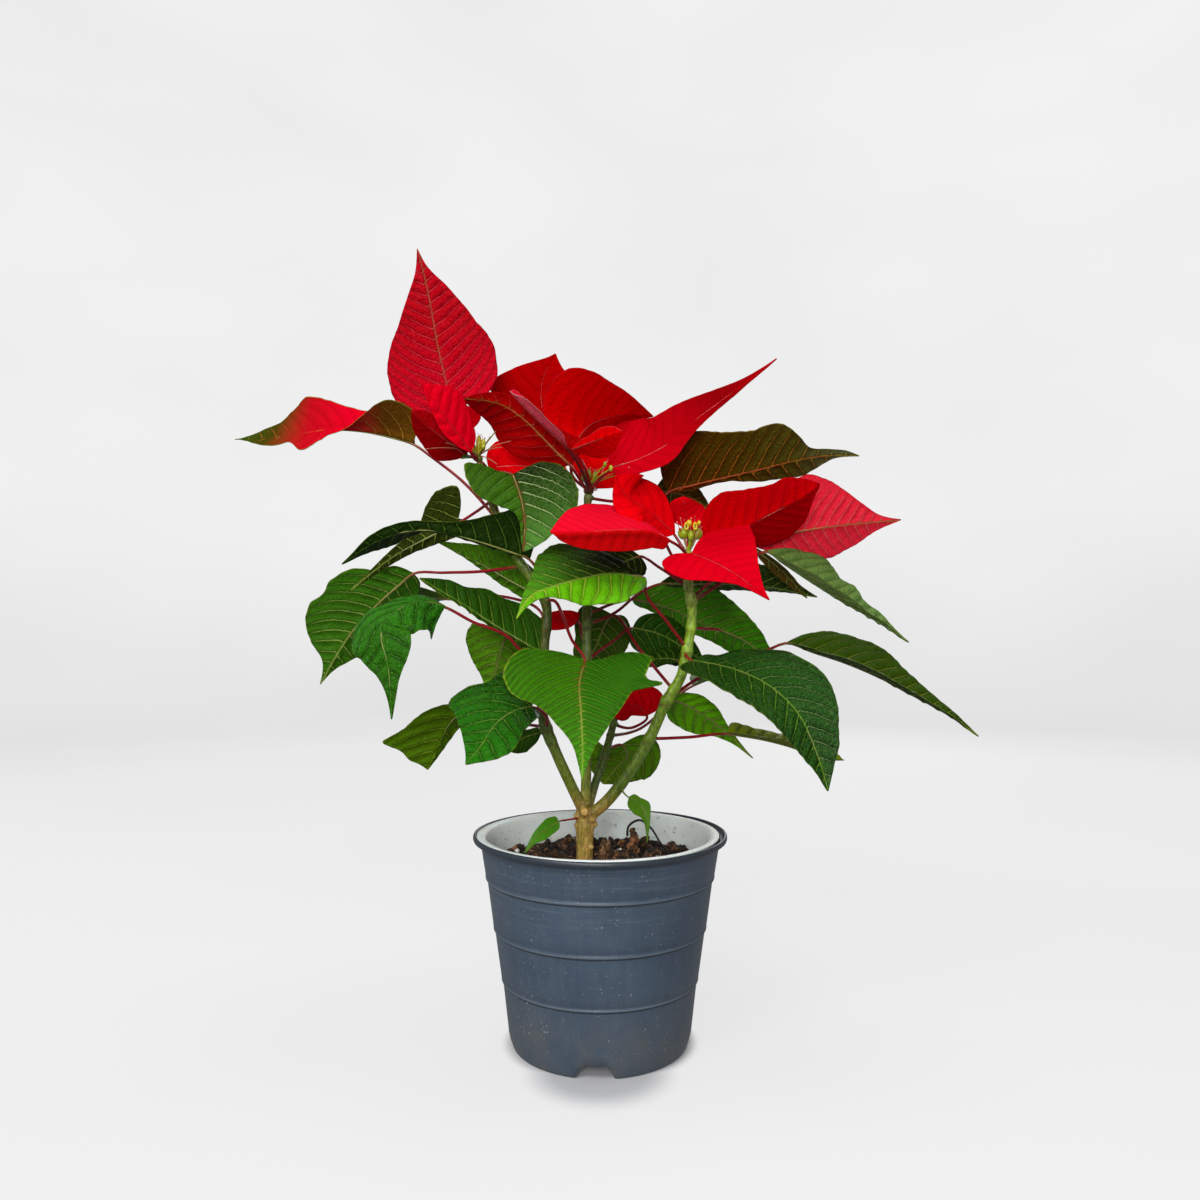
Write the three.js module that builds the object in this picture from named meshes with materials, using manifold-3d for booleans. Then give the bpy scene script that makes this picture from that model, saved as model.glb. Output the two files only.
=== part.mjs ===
// A poinsettia in a nursery pot: grow pot, inner pot, soil, branching stem, leaves, bracts and cyathia.
// Millimetres, +Z up, the origin on the floor under the middle of the pot.

import * as THREE from 'three';
import { mergeVertices } from 'three/addons/utils/BufferGeometryUtils.js';
import Module from 'manifold-3d';

const wasm = await Module();
wasm.setup();

// ---------------------------------------------------------------- driving dimensions

const GAP = 0.3;                 // free space kept between two pieces that touch in life
const WELD = 1e-4;               // corners nearer than this are one corner

const POT_RIM_RADIUS = 75;
const POT_HEIGHT = 121.6;
const POT_BASE_RADIUS = 51.4;
const POT_FLOOR_TOP = 9.5;
const POT_SIDES = 32;
const FOOT_HEIGHT = 8;           // the floor of the pot stands this high on its foot ring
const FOOT_WIDTH = 5.4;
const CENTRE_FOOT_RADIUS = 9;
const LEDGES = [[57.4, 38.1], [62.3, 67.6], [67, 96.7]];  // [radius, height] of the steps in the wall
const LEDGE_RISE = 1;
const LEDGE_WIDTH = 0.8;
const NOTCH = { foot: 22, top: 13, height: 7.4, turns: [-3, 87, 177, 267] };

const LINER_SHIFT = -1.2;        // the inner pot stands a little to the left in the outer one
const LINER_WALL = 1;
const LINER_FOOT_RADIUS = 48.3;
const LINER_NECK_RADIUS = 66.2;
const LINER_RIM_RADIUS = 71.6;
const LINER_HEIGHT = 121.2;
const SOIL_LEVEL = 104;
const SOIL_EDGE = [62.5, 103];   // [radius, height] where the soil meets the inner pot
const SOIL_SIDES = 32;

const TRUNK_RADIUS = 5.2;
const TRUNK_FOOT = 62;           // height of the trunk's buried end
const TRUNK_SIDES = 10;
const BRANCH_SIDES = 7;
const STUB_RADIUS = 2.5;         // a shoot that was cut off at the fork

const BLADE_THICKNESS = 0.9;
const BASE_REACH = 0.6;          // half width of a blade where its petiole ends
const TIP_REACH = 0.3;
const LEAF_ROWS = 7;
const BRACT_ROWS = 6;
const PLAIN_ROWS = 5;            // blades of the unseen side
const SPROUT_ROWS = 4;
const BLADE_COLUMNS = 2;         // cells from the midrib to one margin
const ROW_EASE = 0.4;            // 1 spaces the rows evenly on the midrib, 0 puts them beside their margins
const FOLD_EASE = 4;             // a fold opens out over this distance from the midrib
const PETIOLE_RADIUS = 1.1;
const PETIOLE_TAPER = 0.9;
const PETIOLE_SIDES = 5;
const PETIOLE_MERGE = 2.5;       // the petiole changes into the blade over this length
const SEAT_STEPS = 160;          // places tried along a branch for a petiole's foot

const HUB_RADIUS = 4;            // swollen stem end that carries the bracts of a bloom
const HUB_SINK = 0.5;            // how far the cups' stalks reach into it

// ---------------------------------------------------------------- colours and finishes

function finish(color, roughness) {
  return new THREE.MeshStandardMaterial({ color, roughness, metalness: 0 });
}

const FINISH = {
  pot: finish(0x46566a, 0.5),
  liner: finish(0xcfd6d2, 0.55),
  soil: finish(0x3a241c, 1),
  stem: finish(0x7f8f35, 0.6),
  leaf: finish(0x2f7d1f, 0.5),
  bract: finish(0xc8102a, 0.5),
  cyathium: finish(0xa9b52c, 0.5),
};

// ---------------------------------------------------------------- solids

const plant = new THREE.Group();

function solidFrom(geometry) {
  const bare = geometry.clone();
  bare.deleteAttribute('normal');
  bare.deleteAttribute('uv');
  const merged = mergeVertices(bare, WELD);
  const index = merged.index.array;
  const triangles = [];
  for (let i = 0; i < index.length; i += 3) {
    const [a, b, c] = [index[i], index[i + 1], index[i + 2]];
    if (a !== b && b !== c && c !== a) {
      triangles.push(a, b, c);
    }
  }
  return new wasm.Manifold(new wasm.Mesh({
    numProp: 3,
    vertProperties: new Float32Array(merged.attributes.position.array),
    triVerts: new Uint32Array(triangles),
  }));
}

function geometryFrom(solid) {
  const mesh = solid.getMesh();
  const geometry = new THREE.BufferGeometry();
  geometry.setAttribute('position', new THREE.BufferAttribute(new Float32Array(mesh.vertProperties), 3));
  geometry.setIndex(new THREE.BufferAttribute(new Uint32Array(mesh.triVerts), 1));
  geometry.computeVertexNormals();
  return geometry;
}

function place(name, solid, material) {
  const mesh = new THREE.Mesh(geometryFrom(solid), material);
  mesh.name = name;
  plant.add(mesh);
}

// A solid of revolution about +Z from [radius, height] points that start and end on the axis.
function turned(profile, sides, middleX = 0) {
  const points = profile.map(([radius, height]) => new THREE.Vector2(radius, height));
  const geometry = new THREE.LatheGeometry(points, sides);
  geometry.rotateX(Math.PI / 2);
  geometry.translate(middleX, 0, 0);
  return geometry;
}

// ---------------------------------------------------------------- curves

function vector([x, y, z]) {
  return new THREE.Vector3(x, y, z);
}

function distanceBetween(a, b) {
  return Math.hypot(...a.map((value, axis) => value - b[axis]));
}

// Smooth curve through hand-placed points, straight on beyond both ends. Works in 2-D and 3-D.
function smoothCurve(points) {
  const last = points.length - 1;
  const knots = [0];
  for (let i = 1; i <= last; i += 1) {
    knots.push(knots[i - 1] + distanceBetween(points[i], points[i - 1]));
  }
  const steps = knots.map((knot) => knot / knots[last]);
  const chord = (i, axis) => (points[i + 1][axis] - points[i][axis]) / (steps[i + 1] - steps[i]);
  const slopes = points.map((point, i) => point.map((value, axis) => {
    if (i === 0) {
      return chord(0, axis);
    }
    if (i === last) {
      return chord(last - 1, axis);
    }
    const before = steps[i] - steps[i - 1];
    const after = steps[i + 1] - steps[i];
    return (chord(i - 1, axis) * after + chord(i, axis) * before) / (before + after);
  }));
  if (last > 1) {
    slopes[0] = slopes[0].map((value, axis) => 1.5 * value - 0.5 * slopes[1][axis]);
    slopes[last] = slopes[last].map((value, axis) => 1.5 * value - 0.5 * slopes[last - 1][axis]);
  }
  return (t) => {
    const inside = Math.min(Math.max(t, 0), 1);
    let i = 0;
    while (i < last - 1 && steps[i + 1] <= inside) {
      i += 1;
    }
    const span = steps[i + 1] - steps[i];
    const u = (inside - steps[i]) / span;
    const at = points[i].map((value, axis) => (2 * u ** 3 - 3 * u ** 2 + 1) * value
      + (u ** 3 - 2 * u ** 2 + u) * span * slopes[i][axis]
      + (3 * u ** 2 - 2 * u ** 3) * points[i + 1][axis]
      + (u ** 3 - u ** 2) * span * slopes[i + 1][axis]);
    const run = points[i].map((value, axis) => (6 * u ** 2 - 6 * u) * (value - points[i + 1][axis]) / span
      + (3 * u ** 2 - 4 * u + 1) * slopes[i][axis]
      + (3 * u ** 2 - 2 * u) * slopes[i + 1][axis]);
    return { at: at.map((value, axis) => value + run[axis] * (t - inside)), run };
  };
}

// A value that changes evenly along a blade, from a list of values spaced evenly base to tip.
function along(values, s) {
  if (values.length === 1) {
    return values[0];
  }
  const position = Math.min(Math.max(s, 0), 1) * (values.length - 1);
  const i = Math.min(Math.floor(position), values.length - 2);
  const mix = position - i;
  if (Array.isArray(values[0])) {
    return values[i].map((value, axis) => value * (1 - mix) + values[i + 1][axis] * mix);
  }
  return values[i] * (1 - mix) + values[i + 1] * mix;
}

// ---------------------------------------------------------------- rings and stalks

// Collects triangles given by their corners and gives the closed solid they bound.
class Skin {
  constructor() {
    this.positions = [];
  }

  face(a, b, c) {
    this.positions.push(...a.toArray(), ...b.toArray(), ...c.toArray());
  }

  // The wall between two rings of points that run the same way round, far one ahead.
  wall(near, far) {
    let i = 0;
    let j = 0;
    while (i < near.length || j < far.length) {
      const a = near[i % near.length];
      const b = far[j % far.length];
      const nearStep = (i + 1) / near.length;
      const farStep = (j + 1) / far.length;
      if (j >= far.length || (i < near.length && nearStep <= farStep)) {
        this.face(a, near[(i + 1) % near.length], b);
        i += 1;
      } else {
        this.face(a, far[(j + 1) % far.length], b);
        j += 1;
      }
    }
  }

  cap(ring, ahead) {
    for (let k = 1; k < ring.length - 1; k += 1) {
      if (ahead) {
        this.face(ring[0], ring[k], ring[k + 1]);
      } else {
        this.face(ring[0], ring[k + 1], ring[k]);
      }
    }
  }

  solid() {
    const geometry = new THREE.BufferGeometry();
    geometry.setAttribute('position', new THREE.Float32BufferAttribute(this.positions, 3));
    return solidFrom(geometry);
  }
}

// Rings round a curve at the places ts. The frame at the last one is turned to the vector side.
function ringsRound(curve, ts, radii, sides, side) {
  const rings = [];
  let across = side;
  for (const t of [...ts].reverse()) {
    const { at, run } = curve(t);
    const ahead = vector(run).normalize();
    across = across.clone().addScaledVector(ahead, -across.dot(ahead)).normalize();
    const up = new THREE.Vector3().crossVectors(across, ahead);
    const radius = along(radii, t);
    const ring = [];
    for (let k = 0; k < sides; k += 1) {
      const angle = Math.PI - (2 * Math.PI * k) / sides;
      ring.push(vector(at)
        .addScaledVector(across, radius * Math.cos(angle))
        .addScaledVector(up, radius * Math.sin(angle)));
    }
    rings.unshift(ring);
  }
  return rings;
}

// A closed tube with flat ends along a smooth curve, its radius from the list radii.
function stalk(points, radii, sides, steps) {
  const ts = Array.from({ length: steps + 1 }, (unused, i) => i / steps);
  const rings = ringsRound(smoothCurve(points), ts, radii, sides, new THREE.Vector3(0.3, 1, 0.2));
  const skin = new Skin();
  skin.cap(rings[0], false);
  for (let i = 0; i < steps; i += 1) {
    skin.wall(rings[i], rings[i + 1]);
  }
  skin.cap(rings[steps], true);
  return skin.solid();
}

function ball([x, y, z], radius) {
  const geometry = new THREE.SphereGeometry(radius, 8, 5);
  geometry.rotateX(Math.PI / 2);
  geometry.translate(x, y, z);
  return solidFrom(geometry);
}

// ---------------------------------------------------------------- blades

// The point of a blade at s along its midrib and reach out from it, on the left (-1) or right (+1).
// The half blade leaves the midrib at its fold angle, reached over the first FOLD_EASE.
function bladePoint(blade, curve, s, reach, side) {
  const { at, run } = curve(s);
  const ahead = vector(run).normalize();
  const across = new THREE.Vector3().crossVectors(ahead, vector(along(blade.top, s))).normalize();
  const up = new THREE.Vector3().crossVectors(across, ahead);
  const folds = side < 0 ? blade.foldLeft : blade.foldRight;
  const fold = THREE.MathUtils.degToRad(along(folds, s)) * Math.min(reach / FOLD_EASE, 1);
  const out = across.clone().multiplyScalar(side * Math.cos(fold)).addScaledVector(up, Math.sin(fold));
  const normal = up.multiplyScalar(Math.cos(fold)).addScaledVector(across, -side * Math.sin(fold));
  return { point: vector(at).addScaledVector(out, reach), normal };
}

// One side of the margin as [s, reach] from base to tip. Table values are percent and millimetres.
function marginCurve(blade, side) {
  const length = distanceBetween(blade.midrib.at(-1), blade.midrib[0]);
  const table = side < 0 ? blade.left : blade.right;
  const points = table.map(([percent, reach]) => [(percent / 100) * length, reach]);
  const curve = smoothCurve([[0, BASE_REACH], ...points, [length, TIP_REACH]]);
  return (t) => {
    const [distance, reach] = curve(t).at;
    return [distance / length, Math.max(reach, TIP_REACH)];
  };
}

// Where row t leaves the midrib: beside its ends on the two margins, eased towards even spacing.
function rowStation(margins, t) {
  const levels = [margins[-1](t)[0], margins[1](t)[0]].map((s) => Math.min(Math.max(s, 0), 1));
  return ROW_EASE * t + (1 - ROW_EASE) * (levels[0] + levels[1]) / 2;
}

function bladeGrid(blade, rows, columns) {
  const midrib = smoothCurve(blade.midrib);
  const margins = { [-1]: marginCurve(blade, -1), 1: marginCurve(blade, 1) };
  const grid = [];
  for (let i = 0; i <= rows; i += 1) {
    const t = i / rows;
    const start = rowStation(margins, t);
    const row = [];
    for (let j = -columns; j <= columns; j += 1) {
      const side = j < 0 ? -1 : 1;
      const part = Math.abs(j) / columns;
      const [s, reach] = margins[side](t);
      row.push(bladePoint(blade, midrib, start + (s - start) * part, reach * part, side));
    }
    grid.push(row);
  }
  return grid;
}

// Each row of a grid as a flat ring: over the upper face to the right, back over the lower.
function rowRings(grid, thickness) {
  return grid.map((row) => {
    const upper = row.map(({ point, normal }) => point.clone().addScaledVector(normal, thickness / 2));
    const lower = row.map(({ point, normal }) => point.clone().addScaledVector(normal, -thickness / 2));
    return [...upper, ...lower.reverse()];
  });
}

// A blade and its petiole as one closed body, with the same triangles on both faces of the blade.
function bladeSolid(blade, rows) {
  const grid = bladeGrid(blade, rows, BLADE_COLUMNS);
  const rings = rowRings(grid, BLADE_THICKNESS);
  const columns = 2 * BLADE_COLUMNS;
  const corners = rings[0].length;
  const skin = new Skin();
  for (let i = 0; i < rings.length - 1; i += 1) {
    for (let k = 0; k < corners; k += 1) {
      const next = (k + 1) % corners;
      const column = k < columns ? k : corners - 2 - k;
      const steep = (column < BLADE_COLUMNS) === (k > columns);
      const [a, b, c, d] = [rings[i][k], rings[i][next], rings[i + 1][next], rings[i + 1][k]];
      if (steep) {
        skin.face(a, b, d);
        skin.face(b, c, d);
      } else {
        skin.face(a, b, c);
        skin.face(a, c, d);
      }
    }
  }
  const tip = rings.at(-1);
  for (let j = 0; j < columns; j += 1) {
    const under = corners - 1 - j;
    skin.face(tip[j], tip[j + 1], tip[under - 1]);
    skin.face(tip[j], tip[under - 1], tip[under]);
  }
  const steps = blade.petiole.length - 1;
  const merge = PETIOLE_MERGE / distanceBetween(blade.petiole[steps], blade.petiole[0]);
  const end = Math.max(1 - merge, 0.5);
  const ts = Array.from({ length: steps + 1 }, (unused, i) => (i / steps) * end);
  const radius = blade.petioleRadius ?? PETIOLE_RADIUS;
  const radii = [radius, PETIOLE_TAPER * radius];
  const across = new THREE.Vector3().subVectors(grid[0][columns].point, grid[0][0].point);
  const petiole = ringsRound(smoothCurve(blade.petiole), ts, radii, PETIOLE_SIDES, across);
  skin.cap(petiole[0], false);
  for (let i = 0; i < steps; i += 1) {
    skin.wall(petiole[i], petiole[i + 1]);
  }
  skin.wall(petiole[steps], rings[0]);
  return skin.solid();
}

// Margin of a plain, evenly tapering blade of the given half width.
function plainMargin(halfWidth) {
  const stations = [[5, 0.3], [16, 0.8], [34, 1], [55, 0.82], [75, 0.42], [90, 0.15]];
  return stations.map(([percent, share]) => [percent, share * halfWidth]);
}

function plainBlade(blade) {
  const margin = plainMargin(blade.halfWidth);
  return { rows: PLAIN_ROWS, foldLeft: [8], foldRight: [8], left: margin, right: margin, ...blade };
}

// ---------------------------------------------------------------- stem

// Branch routes from the fork up, each with its radius at the foot and at the top.
const FORK = [-9, 0, 133];
const BRANCHES = {
  left: {
    route: [[-9, -1, 132], [-17, -3, 149], [-26, -5, 169], [-33, -6, 187], [-33, -6, 230], [-33, -6, 260],
      [-42, -6, 273], [-53, -6, 291], [-61, -7, 308], [-67, -8, 328], [-72, -9, 341]],
    radii: [3.4, 2.9, 2.4],
  },
  centre: {
    route: [[-9, 1, 133], [-8, 3, 164], [-8, 5, 200], [-8, 8, 248], [-8, 9, 284], [-8, 10, 314],
      [-7, 10, 325]],
    radii: [3.2, 2.8, 2.3],
  },
  back: {
    route: [[-8, 2, 131], [-3, 10, 148], [2, 16, 162], [7, 22, 178], [9, 26, 186]],
    radii: [2.8, 2.3],
  },
  right: {
    route: [[-8, -1, 130], [2, -3, 138], [15, -5, 154], [29, -7, 177], [39, -9, 199], [48, -10, 215],
      [51, -10, 228], [54, -10, 247], [54, -11, 256], [52, -12, 268], [52, -13, 282]],
    radii: [3.7, 3.2, 2.6],
  },
};

// Trunk and branches as one body, thicker by extra for the room that it needs.
function stemSolid(extra) {
  const trunkRadii = [TRUNK_RADIUS - 0.4, TRUNK_RADIUS, TRUNK_RADIUS + 0.3].map((radius) => radius + extra);
  const [trunkX, , forkTop] = FORK;
  const foot = [trunkX, 0, TRUNK_FOOT - extra];
  const trunkPath = [foot, [trunkX - 0.2, 0, SOIL_LEVEL], [trunkX, 0, forkTop + 3]];
  let solid = stalk(trunkPath, trunkRadii, TRUNK_SIDES, 4);
  for (const { route, radii } of Object.values(BRANCHES)) {
    const grown = radii.map((radius) => radius + extra);
    solid = solid.add(stalk(route, grown, BRANCH_SIDES, route.length));
  }
  const stubEnd = [trunkX - 0.2, -6.6 - extra, forkTop + 1.4];
  return solid.add(stalk([FORK, stubEnd], [STUB_RADIUS + extra], BRANCH_SIDES, 1));
}

const stem = stemSolid(0);
const stemRoom = stemSolid(GAP);

// A blade whose petiole starts on the middle line of the branch nearest to its foot.
function seated(blade) {
  const foot = blade.petiole[0];
  let seat = foot;
  let nearest = Infinity;
  for (const { route } of Object.values(BRANCHES)) {
    const curve = smoothCurve(route);
    for (let i = 0; i <= SEAT_STEPS; i += 1) {
      const { at } = curve(i / SEAT_STEPS);
      const distance = distanceBetween(at, foot);
      if (distance < nearest) {
        nearest = distance;
        seat = at;
      }
    }
  }
  return { ...blade, petiole: [seat, ...blade.petiole.slice(1)] };
}

// ---------------------------------------------------------------- pots and soil

// The grow pot: centre foot and foot ring below, stepped wall, rolled rim, notches in the foot ring.
function outerPot() {
  const base = POT_BASE_RADIUS;
  const underside = [
    [0, 0], [CENTRE_FOOT_RADIUS, 0], [CENTRE_FOOT_RADIUS + 0.6, FOOT_HEIGHT],
    [base - FOOT_WIDTH, FOOT_HEIGHT], [base - FOOT_WIDTH, 0], [base, 0], [base + 1.5, FOOT_HEIGHT / 2],
  ];
  const wall = LEDGES.flatMap(([radius, height]) => [
    [radius - LEDGE_WIDTH / 2, height - LEDGE_RISE / 2],
    [radius + LEDGE_WIDTH / 2, height + LEDGE_RISE / 2],
  ]);
  const rim = [
    [70.8, POT_HEIGHT - 4.2], [74.6, POT_HEIGHT - 3.5], [POT_RIM_RADIUS, POT_HEIGHT - 2.6],
    [POT_RIM_RADIUS, POT_HEIGHT - 0.8], [74.3, POT_HEIGHT], [73.6, POT_HEIGHT], [73.3, POT_HEIGHT - 2.3],
    [69.4, POT_HEIGHT - 2.8],
  ];
  const inside = [[65.2, 97], [50.4, POT_FLOOR_TOP], [0, POT_FLOOR_TOP]];
  let solid = solidFrom(turned([...underside, ...wall, ...rim, ...inside], POT_SIDES));
  const notch = new THREE.Shape([
    new THREE.Vector2(-NOTCH.foot / 2, -1), new THREE.Vector2(NOTCH.foot / 2, -1),
    new THREE.Vector2(NOTCH.top / 2, NOTCH.height), new THREE.Vector2(-NOTCH.top / 2, NOTCH.height),
  ]);
  for (const turn of NOTCH.turns) {
    const cut = new THREE.ExtrudeGeometry(notch, { depth: 20, bevelEnabled: false });
    cut.rotateX(Math.PI / 2);
    cut.translate(0, 12 - base, 0);
    cut.rotateZ(THREE.MathUtils.degToRad(turn));
    solid = solid.subtract(solidFrom(cut));
  }
  return solid;
}

// The pale inner pot: a thin tapering wall with a lip that lies on the grow pot's rim.
function innerPot() {
  const floor = POT_FLOOR_TOP + GAP;
  const outside = [
    [0, floor], [LINER_FOOT_RADIUS, floor], [LINER_NECK_RADIUS, 112],
    [LINER_NECK_RADIUS + 0.6, LINER_HEIGHT - 2.6], [68, LINER_HEIGHT - 1.9],
    [LINER_RIM_RADIUS, LINER_HEIGHT - 1.2],
  ];
  const inside = [
    [LINER_RIM_RADIUS - 0.4, LINER_HEIGHT], [LINER_RIM_RADIUS - 1.8, LINER_HEIGHT],
    [67.4, LINER_HEIGHT - 0.3], [65.9, LINER_HEIGHT - 1.8], [LINER_NECK_RADIUS - LINER_WALL, 116],
    [LINER_FOOT_RADIUS - LINER_WALL, floor + LINER_WALL], [0, floor + LINER_WALL],
  ];
  return solidFrom(turned([...outside, ...inside], POT_SIDES, LINER_SHIFT));
}

// Lumps and hollows of the soil surface, as a height above the level line.
function soilRelief(x, y) {
  const waves = [
    [0.11, 0.07, 0.4, 1.5], [-0.09, 0.16, 1.9, 1.3], [0.23, -0.19, 2.6, 0.9], [0.31, 0.27, 0.8, 0.7],
  ];
  return waves.reduce((sum, [alongX, alongY, phase, height]) => (
    sum + height * Math.sin(alongX * x + alongY * y + phase)), 0);
}

// A solid filling of the inner pot with a lumpy top and four large bark chips, holed for the stem.
function soilBed() {
  const level = POT_FLOOR_TOP + GAP + LINER_WALL + GAP;
  const lowest = [LINER_FOOT_RADIUS - LINER_WALL - 0.5, level];
  const rings = [56, 46, 36, 26, 15, 0].map((radius) => [radius, SOIL_LEVEL]);
  const geometry = turned([[0, level], lowest, SOIL_EDGE, ...rings], SOIL_SIDES, LINER_SHIFT);
  const position = geometry.attributes.position;
  for (let i = 0; i < position.count; i += 1) {
    if (position.getZ(i) > SOIL_LEVEL - 0.5) {
      position.setZ(i, SOIL_LEVEL + soilRelief(position.getX(i), position.getY(i)));
    }
  }
  let solid = solidFrom(geometry);
  const chips = [
    { middle: [3, -2], rise: 5, size: [5.5, 5, 7.5], turn: 0.4 },
    { middle: [20, 8], rise: 6, size: [5.5, 5, 8], turn: 1.1 },
    { middle: [-38, 12], rise: 1, size: [8, 5, 3.5], turn: 2 },
    { middle: [40, -14], rise: 1, size: [7, 4.5, 3], turn: 0.2 },
  ];
  for (const { middle: [x, y], rise, size, turn } of chips) {
    const chip = new THREE.IcosahedronGeometry(1, 0);
    chip.scale(...size);
    chip.rotateZ(turn);
    chip.translate(x, y, SOIL_LEVEL + soilRelief(x, y) + rise);
    solid = solid.add(solidFrom(chip));
  }
  return solid.subtract(stemRoom);
}

place('outer_pot', outerPot(), FINISH.pot);
place('inner_pot', innerPot(), FINISH.liner);
place('soil', soilBed(), FINISH.soil);

// ---------------------------------------------------------------- leaves

// Every blade: petiole and midrib are routes of [x, y, z], top is where its upper face looks, the folds
// are degrees that each half rises from flat, and left and right are the margin as [percent, reach].
const LEAVES = [
  {
    name: 'leaf_far_left',
    petiole: [[-62, -7, 304], [-83, -4, 331], [-102, -1, 346], [-112, 0, 354]],
    midrib: [[-112, 0, 354], [-136, 3, 361], [-163, 6, 364], [-195, 9, 360], [-225, 12, 359]],
    top: [[0, -0.1, 1], [0, -0.3, 1], [0, -0.2, 1]],
    foldLeft: [80, 40, -35, -20, 0],
    foldRight: [30, 40, 45, 30, 20],
    left: [[5, 20], [15, 25], [26, 16], [38, 8], [50, 10], [60, 20], [68, 10], [80, 14], [90, 8]],
    right: [[10, 16], [28, 18], [44, 20], [58, 31], [68, 38], [75, 30], [80, 18], [87, 15], [94, 5]],
  },
  {
    name: 'leaf_upper_left_back',
    petiole: [[-65, -3, 319], [-75, 8, 314], [-88, 16, 308]],
    midrib: [[-88, 16, 308], [-103, 18, 301], [-126, 15, 288], [-153, 12, 266]],
    top: [[-0.2, 0.75, 0.65]],
    foldLeft: [5],
    foldRight: [5],
    left: [[-10, 10], [-15, 22], [-1, 25], [15, 19], [27, 11], [48, 6], [75, 2]],
    right: [[10, 8], [30, 7], [57, 5], [80, 3]],
  },
  {
    name: 'leaf_upper_left_front',
    petiole: [[-34, -8, 263], [-35, -11, 272], [-41, -16, 283]],
    midrib: [[-41, -16, 283], [-64, -24, 291], [-84, -28, 296], [-103, -30, 299], [-123, -30, 294],
      [-148, -26, 279]],
    top: [[0, 0.35, 1]],
    foldLeft: [45, 45, 30, 0],
    foldRight: [10],
    left: [[4, 18], [11, 26], [24, 18], [36, 10], [52, 5], [66, 6], [80, 5], [92, 2]],
    right: [[8, 4], [20, 8], [35, 6], [50, 5], [65, 14], [75, 18], [86, 9], [95, 3]],
  },
  {
    name: 'leaf_left_veined',
    petiole: [[-36, -3, 266], [-37, 2, 265], [-36, 8, 262]],
    midrib: [[-36, 8, 262], [-55, 16, 272], [-76, 24, 284], [-104, 34, 298]],
    top: [[0, 0.7, 0.7]],
    foldLeft: [5],
    foldRight: [0],
    left: [[5, 13], [22, 21], [46, 18], [70, 10], [88, 4]],
    right: [[10, 8], [30, 8], [55, 5], [80, 2]],
  },
  {
    name: 'leaf_left_mid',
    petiole: [[-49, -2, 277], [-74, 8, 277], [-97, 18, 277], [-117, 24, 277]],
    midrib: [[-117, 24, 277], [-139, 36, 261], [-159, 46, 243], [-184, 56, 206]],
    top: [[-0.25, 0.9, 0.35]],
    foldLeft: [12],
    foldRight: [12],
    left: [[5, 10], [17, 16], [28, 27], [44, 31], [52, 29], [60, 32], [72, 26], [79, 18], [86, 6]],
    right: [[2, 7], [16, 16], [35, 22], [60, 21], [79, 10], [90, 3]],
  },
  {
    name: 'leaf_left_bright',
    petiole: [[-33, -9, 219], [-47, -14, 230], [-53, -18, 237], [-73, -26, 246], [-88, -32, 255]],
    midrib: [[-88, -32, 255], [-101, -42, 257], [-111, -50, 252], [-118, -56, 244], [-115, -61, 232],
      [-112, -64, 217], [-110, -66, 194]],
    top: [[-0.2, -0.5, 0.85], [-0.45, -0.6, 0.5], [-0.2, -0.95, 0.15]],
    foldLeft: [-60, -20, 0],
    foldRight: [-5],
    left: [[4, 12], [10, 22], [16, 20], [28, 18], [45, 17], [62, 14], [80, 5], [92, 2]],
    right: [[5, 14], [25, 17], [46, 22], [55, 20], [66, 14], [76, 7], [85, 3]],
  },
  {
    name: 'leaf_left_inner',
    petiole: [[-33, -2, 221], [-37, 3, 229]],
    midrib: [[-37, 3, 229], [-61, 2, 243], [-84, -2, 258], [-107, -8, 272]],
    top: [[0, -0.7, 0.7]],
    foldLeft: [30],
    foldRight: [0],
    left: [[15, 9], [35, 7], [65, 5], [85, 3]],
    right: [[6, 20], [28, 25], [44, 22], [56, 20], [69, 13], [80, 11], [92, 5]],
  },
  {
    name: 'leaf_left_low_back',
    petiole: [[-33, -3, 208], [-43, 14, 226], [-59, 26, 238]],
    midrib: [[-59, 26, 238], [-64, 34, 226], [-68, 42, 213], [-74, 50, 196]],
    top: [[-0.3, 0.85, 0.35]],
    foldLeft: [6],
    foldRight: [6],
    left: [[-8, 10], [-8, 22], [12, 24], [34, 19], [52, 13], [73, 6]],
    right: [[-6, 9], [12, 18], [43, 18], [71, 10]],
  },
  {
    name: 'leaf_left_glossy',
    petiole: [[-32, -9, 183], [-32, -20, 193], [-38, -30, 198]],
    midrib: [[-38, -30, 198], [-46, -38, 197], [-56, -48, 191], [-64, -58, 179], [-71, -64, 170]],
    top: [[-0.3, -0.8, 0.6]],
    foldLeft: [5],
    foldRight: [5],
    left: [[5, 10], [25, 16], [58, 20], [73, 20], [84, 14], [93, 6]],
    right: [[-15, 14], [0, 33], [20, 29], [38, 34], [49, 34], [54, 26], [65, 18], [80, 11], [92, 4]],
  },
  {
    name: 'leaf_left_small',
    rows: PLAIN_ROWS,
    petiole: [[-31, -5, 176], [-33, 3, 178], [-36, 10, 179]],
    midrib: [[-36, 10, 179], [-43, 14, 177], [-51, 18, 173], [-59, 22, 168]],
    top: [[0, -0.8, 0.5]],
    foldLeft: [5],
    foldRight: [5],
    left: [[5, 6], [30, 10], [60, 9], [85, 5]],
    right: [[5, 3], [30, 4], [60, 5], [85, 3]],
  },
  {
    name: 'leaf_left_lowest',
    petiole: [[-33, -3, 184], [-40, 4, 184], [-49, 12, 185]],
    midrib: [[-49, 12, 185], [-72, 26, 190], [-93, 38, 186], [-104, 46, 169], [-112, 50, 151]],
    top: [[-0.2, 0.75, 0.6]],
    foldLeft: [10],
    foldRight: [20],
    left: [[10, 8], [45, 8], [66, 20], [80, 26], [90, 33], [93, 20], [97, 13], [98, 6]],
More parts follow.
